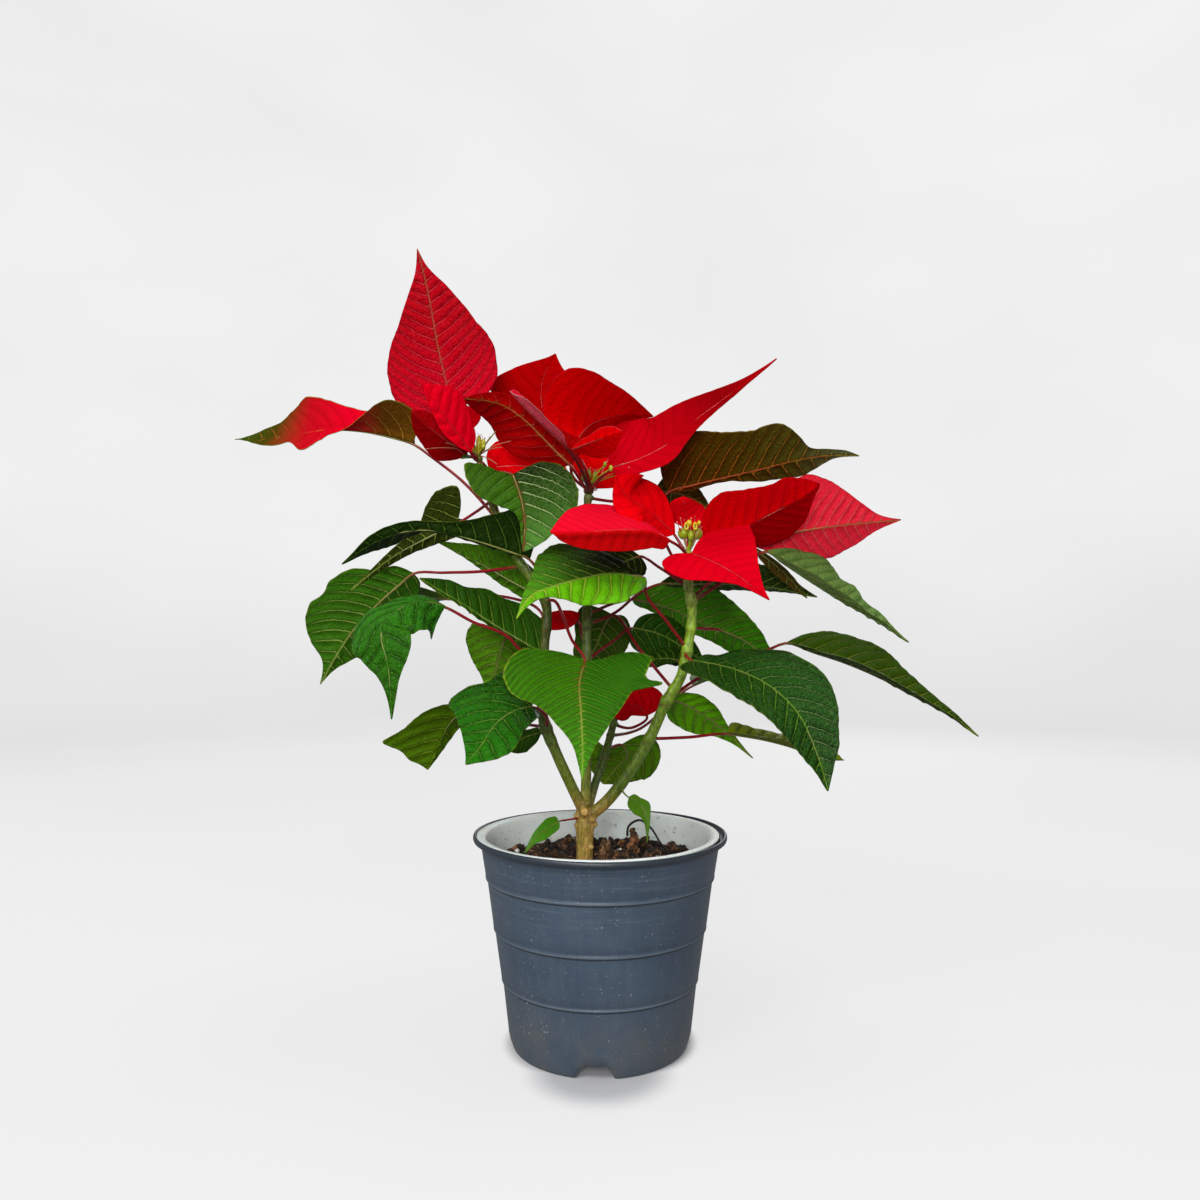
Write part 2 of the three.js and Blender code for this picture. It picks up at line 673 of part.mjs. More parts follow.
    right: [[10, 20], [35, 20], [60, 12], [72, 8], [86, 5]],
  },
  {
    name: 'leaf_front',
    petiole: [[-32, -9, 259], [-26, -16, 258], [-21, -24, 248], [-16, -34, 236], [-8, -44, 224]],
    midrib: [[-8, -44, 224], [-11, -56, 214], [-10, -70, 199], [-9, -82, 182], [-9, -90, 166]],
    top: [[0, -0.55, 0.85], [0, -0.7, 0.6], [0, -0.85, 0.5]],
    foldLeft: [5],
    foldRight: [5],
    left: [[-3, 8], [-14, 24], [-10, 35], [15, 36], [34, 44], [36, 30], [45, 24], [61, 15], [79, 6],
      [92, 2]],
    right: [[-3, 8], [-3, 24], [2, 36], [20, 41], [34, 36], [43, 24], [60, 13], [76, 5], [90, 2]],
  },
  {
    name: 'leaf_centre_bright',
    petiole: [[50, -14, 230], [39, -18, 246], [26, -24, 264], [26, -28, 271]],
    midrib: [[26, -28, 271], [6, -38, 273], [-8, -47, 270], [-25, -56, 265], [-37, -64, 259],
      [-44, -68, 247]],
    top: [[0, -0.45, 0.9]],
    foldLeft: [-12],
    foldRight: [14],
    left: [[2, 8], [10, 16], [25, 24], [40, 28], [50, 26], [61, 22], [70, 12], [78, 7], [90, 3]],
    right: [[8, 6], [14, 22], [29, 31], [39, 34], [58, 30], [68, 18], [76, 10], [88, 3]],
  },
  {
    name: 'leaf_centre_top',
    petiole: [[-66, -12, 332], [-59, -16, 334], [-51, -20, 332]],
    midrib: [[-51, -20, 332], [-46, -27, 319], [-43, -33, 306], [-43, -40, 285]],
    top: [[0, -0.55, 0.85], [0, -0.8, 0.6]],
    foldLeft: [5],
    foldRight: [8],
    left: [[-3, 7], [-6, 21], [6, 30], [34, 33], [57, 30], [66, 23], [76, 18], [89, 11], [96, 5]],
    right: [[-6, 8], [-18, 18], [-20, 25], [7, 28], [28, 25], [42, 15], [52, 6], [66, 3], [84, 2]],
  },
  {
    name: 'leaf_mid_dark',
    petiole: [[40, -5, 208], [24, 14, 230], [8, 30, 251]],
    midrib: [[8, 30, 251], [4, 36, 247], [-1, 42, 235], [-7, 50, 221], [-10, 56, 206]],
    top: [[-0.1, 0.9, 0.45]],
    foldLeft: [8],
    foldRight: [8],
    left: [[3, 10], [14, 19], [24, 19], [45, 15], [65, 12], [85, 5]],
    right: [[-5, 4], [10, 17], [38, 21], [66, 17], [88, 8]],
  },
  {
    name: 'leaf_right_pale',
    petiole: [[56, -6, 242], [64, 2, 242], [73, 10, 242]],
    midrib: [[73, 10, 242], [86, 18, 237], [98, 26, 230], [110, 36, 220]],
    top: [[0.2, 0.75, 0.6]],
    foldLeft: [5],
    foldRight: [5],
    left: [[10, 6], [30, 9], [63, 12], [85, 9]],
    right: [[8, 10], [17, 14], [45, 12], [65, 8], [85, 5]],
  },
  {
    name: 'leaf_right_back',
    petiole: [[-7, 11, 250], [8, 28, 258], [21, 48, 262]],
    midrib: [[21, 48, 262], [41, 58, 258], [63, 66, 249], [96, 74, 230], [112, 78, 213]],
    top: [[0.1, 0.75, 0.65]],
    foldLeft: [5],
    foldRight: [5],
    left: [[4, 5], [17, 8], [32, 11], [48, 13], [65, 11], [85, 7]],
    right: [[5, 10], [19, 19], [43, 28], [60, 24], [73, 20], [88, 10]],
  },
  {
    name: 'leaf_right_upper_dark',
    petiole: [[-7, 12, 244], [9, 16, 252], [27, 20, 266], [38, 22, 271]],
    midrib: [[38, 22, 271], [62, 28, 271], [85, 34, 271], [112, 40, 269], [141, 46, 263]],
    top: [[0, 0.5, 0.85]],
    foldLeft: [20],
    foldRight: [5],
    left: [[8, 9], [22, 13], [46, 18], [70, 14], [88, 4]],
    right: [[9, 13], [26, 20], [54, 21], [71, 16], [89, 5]],
  },
  {
    name: 'leaf_right_thin',
    petiole: [[55, -8, 260], [76, 6, 278], [94, 16, 293]],
    midrib: [[94, 16, 293], [108, 14, 282], [119, 13, 271], [127, 12, 261]],
    top: [[0.3, 0.3, 0.9]],
    foldLeft: [-20],
    foldRight: [-10],
    left: [[25, 6], [50, 7], [75, 5]],
    right: [[25, 6], [50, 7], [75, 5]],
  },
  {
    name: 'leaf_right_dusty',
    petiole: [[55, -15, 257], [71, -14, 269], [85, -12, 279], [99, -10, 288]],
    midrib: [[99, -10, 288], [118, -8, 275], [142, -4, 260], [168, 2, 246], [187, 6, 234]],
    top: [[0.3, -0.75, 0.6]],
    foldLeft: [0],
    foldRight: [50],
    left: [[9, 12], [22, 22], [35, 26], [40, 25], [48, 19], [61, 17], [66, 11], [78, 9], [90, 3]],
    right: [[8, 10], [22, 18], [40, 20], [60, 13], [82, 6]],
  },
  {
    name: 'leaf_right_long',
    petiole: [[41, -5, 199], [58, 0, 212], [81, 5, 222], [101, 7, 229], [114, 8, 234]],
    midrib: [[114, 8, 234], [136, 7, 226], [158, 4, 218], [184, 0, 204], [208, -6, 190], [222, -10, 179]],
    top: [[0.1, -0.5, 0.85]],
    foldLeft: [8],
    foldRight: [35],
    left: [[9, 15], [21, 27], [33, 28], [46, 28], [59, 18], [75, 9], [88, 4]],
    right: [[12, 14], [30, 24], [50, 21], [70, 12], [88, 5]],
  },
  {
    name: 'leaf_right_glossy',
    petiole: [[51, -14, 228], [50, -22, 226], [53, -30, 224]],
    midrib: [[53, -30, 224], [65, -38, 222], [76, -46, 219], [93, -56, 210], [105, -63, 197],
      [113, -67, 179],
      [119, -70, 157]],
    top: [[0.2, -0.6, 0.8], [0.5, -0.7, 0.5]],
    foldLeft: [8],
    foldRight: [8],
    left: [[3, 6], [10, 8], [17, 18], [28, 25], [40, 32], [50, 34], [59, 31], [72, 23], [82, 16], [92, 7]],
    right: [[-3, 8], [7, 20], [26, 27], [45, 29], [61, 25], [76, 17], [90, 7]],
  },
  {
    name: 'leaf_small_dark',
    petiole: [[50, 2, 221], [48, 8, 223]],
    midrib: [[48, 8, 223], [41, 14, 224], [33, 18, 223], [27, 22, 220]],
    top: [[0, -0.6, 0.8]],
    foldLeft: [5],
    foldRight: [5],
    left: [[10, 6], [30, 11], [60, 10], [85, 5]],
    right: [[10, 6], [30, 11], [60, 10], [85, 5]],
  },
  {
    name: 'leaf_right_inner',
    petiole: [[-7, 12, 223], [9, 28, 235], [21, 37, 243]],
    midrib: [[21, 37, 243], [38, 41, 239], [54, 45, 230], [68, 48, 220]],
    top: [[0, -0.8, 0.5]],
    foldLeft: [5],
    foldRight: [5],
    left: [[7, 8], [28, 14], [50, 14], [81, 7]],
    right: [[-3, 14], [20, 22], [45, 20], [71, 14], [88, 6]],
  },
  {
    name: 'leaf_right_low_pale',
    petiole: [[40, 0, 200], [43, 6, 200]],
    midrib: [[43, 6, 200], [53, 14, 196], [66, 20, 188], [79, 26, 178], [96, 30, 161]],
    top: [[0.1, 0.7, 0.7]],
    foldLeft: [5],
    foldRight: [5],
    left: [[5, 8], [14, 14], [25, 21], [49, 20], [62, 11], [78, 4]],
    right: [[2, 7], [18, 11], [40, 10], [55, 6], [75, 2]],
  },
  {
    name: 'leaf_right_low_olive',
    petiole: [[35, -2, 175], [54, 4, 177], [78, 10, 179]],
    midrib: [[78, 10, 179], [98, 16, 175], [122, 22, 168], [138, 26, 162], [153, 28, 160]],
    top: [[0, 0.1, 1]],
    foldLeft: [35],
    foldRight: [0],
    left: [[9, 13], [30, 11], [50, 14], [72, 18], [88, 14], [96, 7]],
    right: [[10, 14], [30, 22], [60, 18], [85, 8]],
  },
  {
    name: 'leaf_low_back',
    petiole: [[3, 20, 164], [7, 34, 167], [14, 44, 168]],
    midrib: [[14, 44, 168], [18, 52, 160], [11, 60, 151], [2, 68, 139]],
    top: [[0, 0.9, 0.4]],
    foldLeft: [5],
    foldRight: [5],
    left: [[-8, 12], [20, 24], [60, 27], [88, 14]],
    right: [[9, 18], [29, 22], [50, 22], [78, 14]],
  },
  {
    name: 'leaf_top_right',
    petiole: [[52, -6, 272], [41, 6, 292], [35, 12, 312], [42, 14, 327]],
    midrib: [[42, 14, 327], [63, 16, 333], [93, 18, 340], [124, 20, 348], [142, 22, 351], [163, 24, 351]],
    top: [[0, 0.72, 0.7]],
    foldLeft: [5, 5, 5, -20],
    foldRight: [5, 5, 5, 30],
    left: [[10, 4], [31, 4], [56, 12], [71, 13], [79, 8], [86, 3]],
    right: [[-2, 12], [0, 27], [6, 34], [14, 36], [30, 31], [45, 28], [61, 27], [69, 15], [74, 7],
      [85, 4], [93, 3]],
  },
  {
    name: 'leaf_top_back',
    petiole: [[-6, 14, 322], [18, 26, 323], [35, 36, 331]],
    midrib: [[35, 36, 331], [48, 44, 331], [62, 52, 328], [74, 58, 320]],
    top: [[0.1, 0.7, 0.7]],
    foldLeft: [5],
    foldRight: [5],
    left: [[5, 8], [16, 14], [45, 20], [70, 18], [92, 9]],
    right: [[5, 10], [44, 11], [78, 5]],
  },
  {
    name: 'leaf_behind_bract',
    petiole: [[52, -6, 266], [36, 2, 279], [24, 10, 287]],
    midrib: [[24, 10, 287], [15, 18, 284], [3, 26, 276]],
    top: [[0, 0.7, 0.7]],
    foldLeft: [5],
    foldRight: [5],
    left: [[20, 14], [40, 18], [65, 15], [88, 6]],
    right: [[20, 14], [40, 18], [65, 15], [88, 6]],
  },
  {
    name: 'sprout_left',
    rows: SPROUT_ROWS,
    petioleRadius: 0.6,
    petiole: [[-14, -3, 128], [-19, -8, 130], [-24, -12, 130]],
    midrib: [[-24, -12, 130], [-30, -16, 127], [-36, -19, 123], [-43, -22, 114]],
    top: [[0, -0.8, 0.6]],
    foldLeft: [4],
    foldRight: [4],
    left: [[10, 4], [31, 5], [53, 5], [76, 2]],
    right: [[-1, 3], [15, 5], [40, 4], [69, 2]],
  },
  {
    name: 'sprout_right',
    rows: SPROUT_ROWS,
    petioleRadius: 0.6,
    petiole: [[12, -6, 150], [14, -10, 146], [17, -13, 144]],
    midrib: [[17, -13, 144], [23, -17, 141], [26, -20, 135], [27, -22, 120]],
    top: [[0.1, -0.8, 0.6]],
    foldLeft: [4],
    foldRight: [4],
    left: [[5, 3], [18, 3], [33, 5], [52, 3], [78, 1]],
    right: [[10, 6], [42, 6], [52, 3], [78, 1]],
  },
  plainBlade({
    name: 'leaf_back_left',
    halfWidth: 29,
    petiole: [[-33, -3, 243], [-42, 26, 257], [-70, 46, 264], [-98, 62, 263]],
    midrib: [[-98, 62, 263], [-140, 84, 262], [-192, 104, 236]],
    top: [[-0.2, 0.3, 0.9]],
  }),
  plainBlade({
    name: 'leaf_back_low',
    halfWidth: 33,
    petiole: [[-7, 6, 190], [-6, 30, 188], [-6, 60, 194]],
    midrib: [[-6, 60, 194], [-10, 106, 190], [-14, 158, 162]],
    top: [[0, 0.3, 0.9]],
  }),
  plainBlade({
    name: 'leaf_back_right',
    halfWidth: 28,
    petiole: [[6, 22, 176], [24, 46, 177], [64, 86, 204]],
    midrib: [[64, 86, 204], [106, 114, 212], [154, 138, 192]],
    top: [[0.1, 0.2, 0.95]],
  }),
  plainBlade({
    name: 'leaf_back_centre',
    halfWidth: 26,
    petiole: [[-6, 12, 292], [-3, 40, 300], [0, 66, 304]],
    midrib: [[0, 66, 304], [6, 106, 306], [12, 150, 284]],
    top: [[0, 0.1, 1]],
  }),
  plainBlade({
    name: 'leaf_back_upper_left',
    halfWidth: 22,
    petiole: [[-56, -4, 300], [-56, 18, 302], [-58, 42, 304]],
    midrib: [[-58, 42, 304], [-80, 66, 312], [-106, 98, 306]],
    top: [[-0.1, 0.1, 1]],
  }),
];

// ---------------------------------------------------------------- blooms

const LOW_BRACTS = [
  {
    name: 'low_bract_right',
    petiole: [[9, 28, 181], [21, 33, 180], [30, 38, 187]],
    midrib: [[30, 38, 187], [25, 43, 192], [17, 47, 193], [6, 53, 187]],
    top: [[0, -0.8, 0.5]],
    foldLeft: [5],
    foldRight: [5],
    left: [[6, 4], [24, 9], [50, 12], [85, 8]],
    right: [[5, 13], [20, 17], [45, 15], [75, 9]],
  },
  {
    name: 'low_bract_left',
    petiole: [[-8, 12, 229], [-11, 16, 238], [-14, 22, 247]],
    midrib: [[-14, 22, 247], [-22, 28, 247], [-31, 34, 247], [-43, 40, 244]],
    top: [[0, -0.7, 0.6]],
    foldLeft: [5],
    foldRight: [5],
    left: [[5, 6], [30, 9], [65, 8]],
    right: [[5, 6], [25, 9], [55, 9], [80, 6]],
  },
];

const BLOOMS = {
  left: {
    hub: [-72, -9, 343],
    bracts: [
      {
        petiole: [[-74, -8, 343], [-81, -2, 356], [-91, 4, 378]],
        midrib: [[-91, 4, 378], [-94, 6, 392], [-100, 8, 417], [-104, 10, 438], [-109, 12, 461],
          [-114, 14, 479]],
        top: [[0.1, -0.9, 0.2]],
        foldLeft: [8],
        foldRight: [8],
        left: [[-4, 14], [1, 29], [22, 34], [34, 31], [47, 24], [66, 15], [88, 4]],
        right: [[0, 18], [11, 31], [20, 33], [33, 33], [51, 25], [72, 13], [88, 3]],
      },
      {
        petiole: [[-73, -11, 343], [-74, -16, 343], [-75, -20, 345]],
        midrib: [[-75, -20, 345], [-84, -30, 357], [-92, -38, 368], [-100, -44, 379]],
        top: [[0.2, -0.8, 0.5]],
        foldLeft: [8],
        foldRight: [8],
        left: [[15, 6], [47, 10], [67, 7], [84, 3]],
        right: [[6, 8], [33, 15], [56, 18], [77, 14], [90, 6]],
      },
      {
        petiole: [[-73, -12, 342], [-75, -14, 343], [-78, -15, 344]],
        midrib: [[-78, -15, 344], [-87, -22, 350], [-98, -28, 358], [-107, -34, 366]],
        top: [[-0.1, 0.6, 0.8]],
        foldLeft: [20],
        foldRight: [10],
        left: [[20, 6], [45, 7], [70, 7], [88, 5]],
        right: [[4, 8], [23, 18], [61, 14], [84, 8]],
      },
      {
        petiole: [[-72, -8, 342], [-70, -4, 341], [-67, 0, 339]],
        midrib: [[-67, 0, 339], [-53, 8, 342], [-37, 15, 342], [-20, 21, 340]],
        top: [[0, -0.75, 0.65]],
        foldLeft: [5],
        foldRight: [5],
        left: [[10, 14], [30, 24], [55, 26], [80, 20], [94, 9]],
        right: [[5, 10], [25, 16], [50, 16], [80, 12], [94, 6]],
      },
      plainBlade({
        halfWidth: 24,
        petiole: [[-72, -8, 343], [-81, 10, 352], [-90, 24, 361]],
        midrib: [[-90, 24, 361], [-101, 44, 375], [-108, 62, 388], [-114, 82, 398]],
        top: [[-0.2, -0.3, 0.9]],
      }),
    ],
    cups: [[-72, -9, 351, 2.4], [-76, -8, 350, 1.8], [-69, -11, 350, 1.9], [-71, -6, 350, 1.8]],
  },
  centre: {
    hub: [-7, 10, 327],
    bracts: [
      {
        petiole: [[-8, 12, 327], [-16, 20, 341], [-26, 30, 359]],
        midrib: [[-26, 30, 359], [-36, 36, 380], [-38, 40, 400], [-29, 44, 422]],
        top: [[0.1, -0.85, 0.4]],
        foldLeft: [6],
        foldRight: [6],
        left: [[5, 10], [14, 18], [43, 29], [60, 32], [72, 21], [84, 10], [94, 3]],
        right: [[6, 17], [30, 34], [55, 34], [78, 26], [90, 9]],
      },
      {
        petiole: [[-8, 10, 328], [-17, 7, 336], [-16, 6, 351]],
        midrib: [[-16, 6, 351], [-10, 12, 365], [9, 22, 376], [34, 32, 378]],
        top: [[0.1, 0.6, 0.7]],
        foldLeft: [6],
        foldRight: [6],
        left: [[10, 8], [30, 16], [48, 18], [71, 12], [88, 4]],
        right: [[9, 20], [19, 34], [28, 41], [38, 36], [50, 27], [69, 16], [86, 7]],
      },
      {
        petiole: [[-7, 7, 326], [-9, -4, 332], [-14, -14, 341], [-20, -22, 349]],
        midrib: [[-20, -22, 349], [-31, -32, 357], [-42, -40, 366], [-50, -46, 374]],
        top: [[0.2, -0.45, 0.75], [0.45, -0.4, 0.75]],
        foldLeft: [60],
        foldRight: [10],
        left: [[8, 3], [40, 5], [80, 5]],
        right: [[8, 5], [35, 10], [70, 11], [92, 8]],
      },
      {
        petiole: [[-6, 7, 327], [-7, -3, 333], [-11, -11, 341], [-16, -18, 347]],
        midrib: [[-16, -18, 347], [-8, -24, 349], [2, -31, 351], [13, -38, 353]],
        top: [[0.1, 0.7, 0.65]],
        foldLeft: [12],
        foldRight: [8],
        left: [[8, 7], [28, 14], [60, 13], [78, 8], [92, 3]],
        right: [[15, 2.5], [42, 4], [65, 6], [86, 5]],
      },
      {
        petiole: [[-8, 8, 326], [-12, 0, 332], [-18, -7, 340]],
        midrib: [[-18, -7, 340], [-30, -12, 351], [-41, -16, 362], [-57, -19, 373], [-80, -22, 376]],
        top: [[-0.3, 0.5, 0.8]],
        foldLeft: [10],
        foldRight: [10],
        left: [[3, 16], [23, 12], [44, 8], [60, 8], [78, 6]],
        right: [[4, 8], [13, 15], [36, 24], [62, 26], [86, 15], [95, 7]],
      },
      {
        petiole: [[-5, 8, 327], [-1, 2, 332], [7, -2, 339]],
        midrib: [[7, -2, 339], [24, -6, 344], [37, -9, 350], [53, -12, 363], [76, -14, 380],
          [104, -16, 401]],
        top: [[-0.1, -0.65, 0.7]],
        foldLeft: [5],
        foldRight: [5],
        left: [[-2, 23], [4, 42], [20, 37], [35, 26], [50, 20], [64, 13], [81, 4]],
        right: [[4, 12], [16, 19], [26, 20], [38, 12], [52, 7], [70, 4], [86, 2]],
      },
      {
        petiole: [[-6, 12, 328], [-4, 19, 329], [-2, 26, 331]],
        midrib: [[-2, 26, 331], [4, 42, 350], [13, 66, 366], [22, 96, 376]],
        top: [[0.1, -0.8, 0.6], [0.1, -0.3, 0.9]],
        foldLeft: [8],
        foldRight: [8],
        left: [[3, 12], [14, 22], [34, 25], [55, 20], [78, 9]],
        right: [[3, 12], [14, 22], [34, 25], [55, 20], [78, 9]],
      },
      plainBlade({
        halfWidth: 20,
        petiole: [[-7, 12, 328], [-12, 30, 342], [-20, 50, 352]],
        midrib: [[-20, 50, 352], [-36, 80, 362], [-54, 112, 352]],
        top: [[0, 0, 1]],
      }),
    ],
    cups: [[-7, 10, 335, 2.4], [-10, 8, 334, 1.8], [-3, 8, 334, 2.1], [-8, 13, 334, 1.9]],
  },
  right: {
    hub: [52, -13, 285],
    bracts: [
      {
        petiole: [[52, -15, 284], [52, -24, 285], [52, -30, 285]],
        midrib: [[52, -30, 285], [63, -44, 279], [75, -58, 270], [89, -70, 257]],
        top: [[0.1, -0.75, 0.6]],
        foldLeft: [5],
        foldRight: [8],
        left: [[-11, 12], [-16, 34], [-5, 44], [20, 36], [47, 23], [75, 9], [90, 3]],
        right: [[-10, 7], [-5, 18], [21, 28], [43, 28], [57, 17], [73, 7], [86, 3]],
      },
      {
        petiole: [[51, -15, 285], [46, -24, 289], [39, -32, 293]],
        midrib: [[39, -32, 293], [31, -40, 296], [15, -52, 296], [-4, -63, 294], [-26, -75, 292]],
        top: [[0, -0.45, 0.9]],
        foldLeft: [-62],
        foldRight: [10],
        left: [[2, 6], [20, 10], [41, 12], [64, 11], [83, 8], [94, 4]],
        right: [[2, 12], [10, 26], [24, 31], [40, 32], [55, 31], [70, 26], [90, 10]],
      },
      {
        petiole: [[51, -13, 286], [48, -12, 291], [44, -12, 298]],
        midrib: [[44, -12, 298], [36, -15, 305], [27, -19, 312], [16, -24, 318], [9, -28, 330]],
        top: [[-0.1, -0.7, 0.65]],
        foldLeft: [5],
        foldRight: [10],
        left: [[17, 14], [40, 22], [59, 24], [71, 18], [84, 8]],
        right: [[8, 6], [20, 12], [35, 18], [48, 21], [70, 19], [88, 14], [97, 7]],
      },
      {
        petiole: [[52, -10, 286], [53, -2, 294], [53, 2, 303]],
        midrib: [[53, 2, 303], [53, 8, 311], [52, 14, 318], [52, 22, 325]],
        top: [[0, -0.85, 0.4]],
        foldLeft: [5],
        foldRight: [5],
        left: [[19, 10], [50, 11], [75, 8]],
        right: [[14, 9], [45, 12], [75, 8]],
      },
      {
        petiole: [[54, -13, 286], [57, -12, 288], [62, -10, 293]],
        midrib: [[62, -10, 293], [75, -14, 298], [86, -18, 302], [101, -22, 310], [117, -26, 318],
          [126, -28, 325]],
        top: [[0.1, 0.55, 0.8]],
        foldLeft: [15],
        foldRight: [10],
        left: [[5, 12], [19, 22], [42, 32], [62, 35], [76, 27], [88, 11]],
        right: [[6, 15], [14, 23], [29, 28], [46, 24], [64, 18], [80, 17], [92, 10]],
      },
      {
        petiole: [[54, -11, 285], [69, 0, 288], [91, 8, 296]],
        midrib: [[91, 8, 296], [107, 10, 299], [121, 12, 302], [147, 14, 306], [187, 18, 310]],
        top: [[0.1, 0.85, 0.5]],
        foldLeft: [5],
        foldRight: [5],
        left: [[4, 5], [19, 12], [32, 18], [51, 23], [69, 17], [86, 6]],
        right: [[5, 8], [14, 18], [28, 30], [38, 35], [50, 31], [59, 25], [72, 14], [86, 4]],
      },
      plainBlade({
        halfWidth: 20,
        petiole: [[53, -10, 286], [61, 12, 292], [66, 26, 298]],
        midrib: [[66, 26, 298], [72, 46, 307], [77, 66, 314], [81, 86, 321]],
        top: [[0.1, -0.2, 1]],
      }),
    ],
    cups: [[49, -14, 299, 2.6], [57, -13, 299, 2.6], [53, -11, 297, 2.4], [53, -17, 296, 2.2]],
  },
};

// The bracts of one bloom, grown together at the swollen end of the branch.
function bloomSolid({ hub, bracts }) {
  let solid = ball(hub, HUB_RADIUS);
  for (const bract of bracts) {
    solid = solid.add(bladeSolid(bract, bract.rows ?? BRACT_ROWS));
  }
  return solid;
}

// The small cups at the heart of a bloom, on short stalks that part just above the hub.
function cyathiaSolid({ hub, cups }) {
  const seat = [hub[0], hub[1], hub[2] + HUB_RADIUS - HUB_SINK];
  let solid = ball([seat[0], seat[1], seat[2] + 1.4], 2);
  for (const [x, y, z, radius] of cups) {
    solid = solid.add(stalk([seat, [x, y, z]], [1.2, 1], 6, 1));
    solid = solid.add(ball([x, y, z + radius * 0.6], radius));
  }
  return solid;
}

let hubRoom = ball(BLOOMS.left.hub, HUB_RADIUS + GAP);
hubRoom = hubRoom.add(ball(BLOOMS.centre.hub, HUB_RADIUS + GAP));
hubRoom = hubRoom.add(ball(BLOOMS.right.hub, HUB_RADIUS + GAP));

place('stem', stem.subtract(hubRoom), FINISH.stem);
for (const leaf of LEAVES) {
  place(leaf.name, bladeSolid(seated(leaf), leaf.rows ?? LEAF_ROWS).subtract(stemRoom), FINISH.leaf);
}
for (const bract of LOW_BRACTS) {
  place(bract.name, bladeSolid(seated(bract), BRACT_ROWS).subtract(stemRoom), FINISH.bract);
}
for (const [side, bloom] of Object.entries(BLOOMS)) {
  place(`bracts_${side}`, bloomSolid(bloom), FINISH.bract);
  place(`cyathia_${side}`, cyathiaSolid(bloom).subtract(hubRoom), FINISH.cyathium);
}

export default plant;
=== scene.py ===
# A potted poinsettia: looks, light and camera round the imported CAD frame.
# Lengths are millimetres, as in the CAD source, unless a comment says metres; meshes are made in metres.

import math

import bpy
import numpy as np
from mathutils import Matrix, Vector


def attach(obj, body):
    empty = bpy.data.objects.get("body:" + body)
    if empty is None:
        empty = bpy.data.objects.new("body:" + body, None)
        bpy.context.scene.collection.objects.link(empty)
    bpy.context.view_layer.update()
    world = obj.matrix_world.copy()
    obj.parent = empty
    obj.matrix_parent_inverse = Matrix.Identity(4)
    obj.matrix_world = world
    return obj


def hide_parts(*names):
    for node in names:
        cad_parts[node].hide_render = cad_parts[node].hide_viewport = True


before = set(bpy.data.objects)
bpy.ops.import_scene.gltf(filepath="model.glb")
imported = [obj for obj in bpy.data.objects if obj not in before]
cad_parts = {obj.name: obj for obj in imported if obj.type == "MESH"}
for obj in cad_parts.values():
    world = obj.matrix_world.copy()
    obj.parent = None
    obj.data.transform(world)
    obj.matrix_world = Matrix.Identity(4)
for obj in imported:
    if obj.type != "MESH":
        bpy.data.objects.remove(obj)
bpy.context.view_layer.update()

MM = 0.001
BASE_REACH = 0.6        # half width of a blade where its petiole ends
TIP_REACH = 0.3
FOLD_EASE = 4.0         # a fold opens out over this distance from the midrib
ROW_EASE = 0.4          # 1 spaces the rows evenly on the midrib, 0 puts them beside their margins
RIM_SHARE = 0.965       # the margin's colour, on bracts a painted shade, starts at this share of the way out
VEIN_SPACING = 8.0      # usual distance between side veins along the midrib
VEIN_COUNTS = (6, 13)   # fewest and most side veins of a half
VEIN_SLANT = 0.55       # how far a side vein runs on towards the tip for each mm outward
VEIN_CURL = 0.35        # and how much more of that it does at the margin
VEIN_STAGGER = 0.35     # share of the spacing by which the left half's veins are shifted
ROWS_PER_MM = 1.05      # the mesh's rows along the midrib, within ROW_COUNTS
ROW_COUNTS = (44, 110)
COLUMN_WIDTH = 2.2      # the mesh's columns in one half, within COLUMN_COUNTS
COLUMN_COUNTS = (7, 15)
TISSUE_HALF = 0.16      # half the thickness of a blade
RIB_HALF = 0.12         # and what the rib adds to it
HUB_RADIUS = 4.0        # of the swollen stem end under a bloom
SOIL_LEVEL = 104.0
LINER_SHIFT = -1.2      # the inner pot stands a little to the left
TRUNK_X = -9.0
BRANCH_STEPS = 160      # places on a branch's middle line


# ------------------------------------------------------------------ number helpers

def lerp(a, b, t):
    return a + (b - a) * t


def smooth(edge0, edge1, x):
    t = np.clip((x - edge0) / (edge1 - edge0), 0, 1)
    return t * t * (3 - 2 * t)


def unit(v):
    return v / np.maximum(np.linalg.norm(v, axis=-1, keepdims=True), 1e-12)


def blend(a, b, share):
    """Colours a changing into b by a share for each point."""
    return a * (1 - share) + np.asarray(b) * share


def ripple(x, y, seed, scale=1.0):
    """Smooth uneven waves in about -1..1 from a few sines, the same on every run."""
    rng = np.random.default_rng(int(seed) % 9973)
    total = 0
    for octave in range(5):
        angle = rng.uniform(0, 2 * math.pi)
        rate = scale * (0.6 + 0.75 * octave)
        phase = rng.uniform(0, 2 * math.pi)
        ahead = x * math.cos(angle) + y * math.sin(angle)
        total = total + np.sin(rate * ahead + phase) / (1 + 0.5 * octave)
    return total / 3.2


def arc_lengths(points):
    """The length of a line of points from its start to each of them."""
    return np.concatenate([[0], np.cumsum(np.linalg.norm(np.diff(points, axis=0), axis=1))])


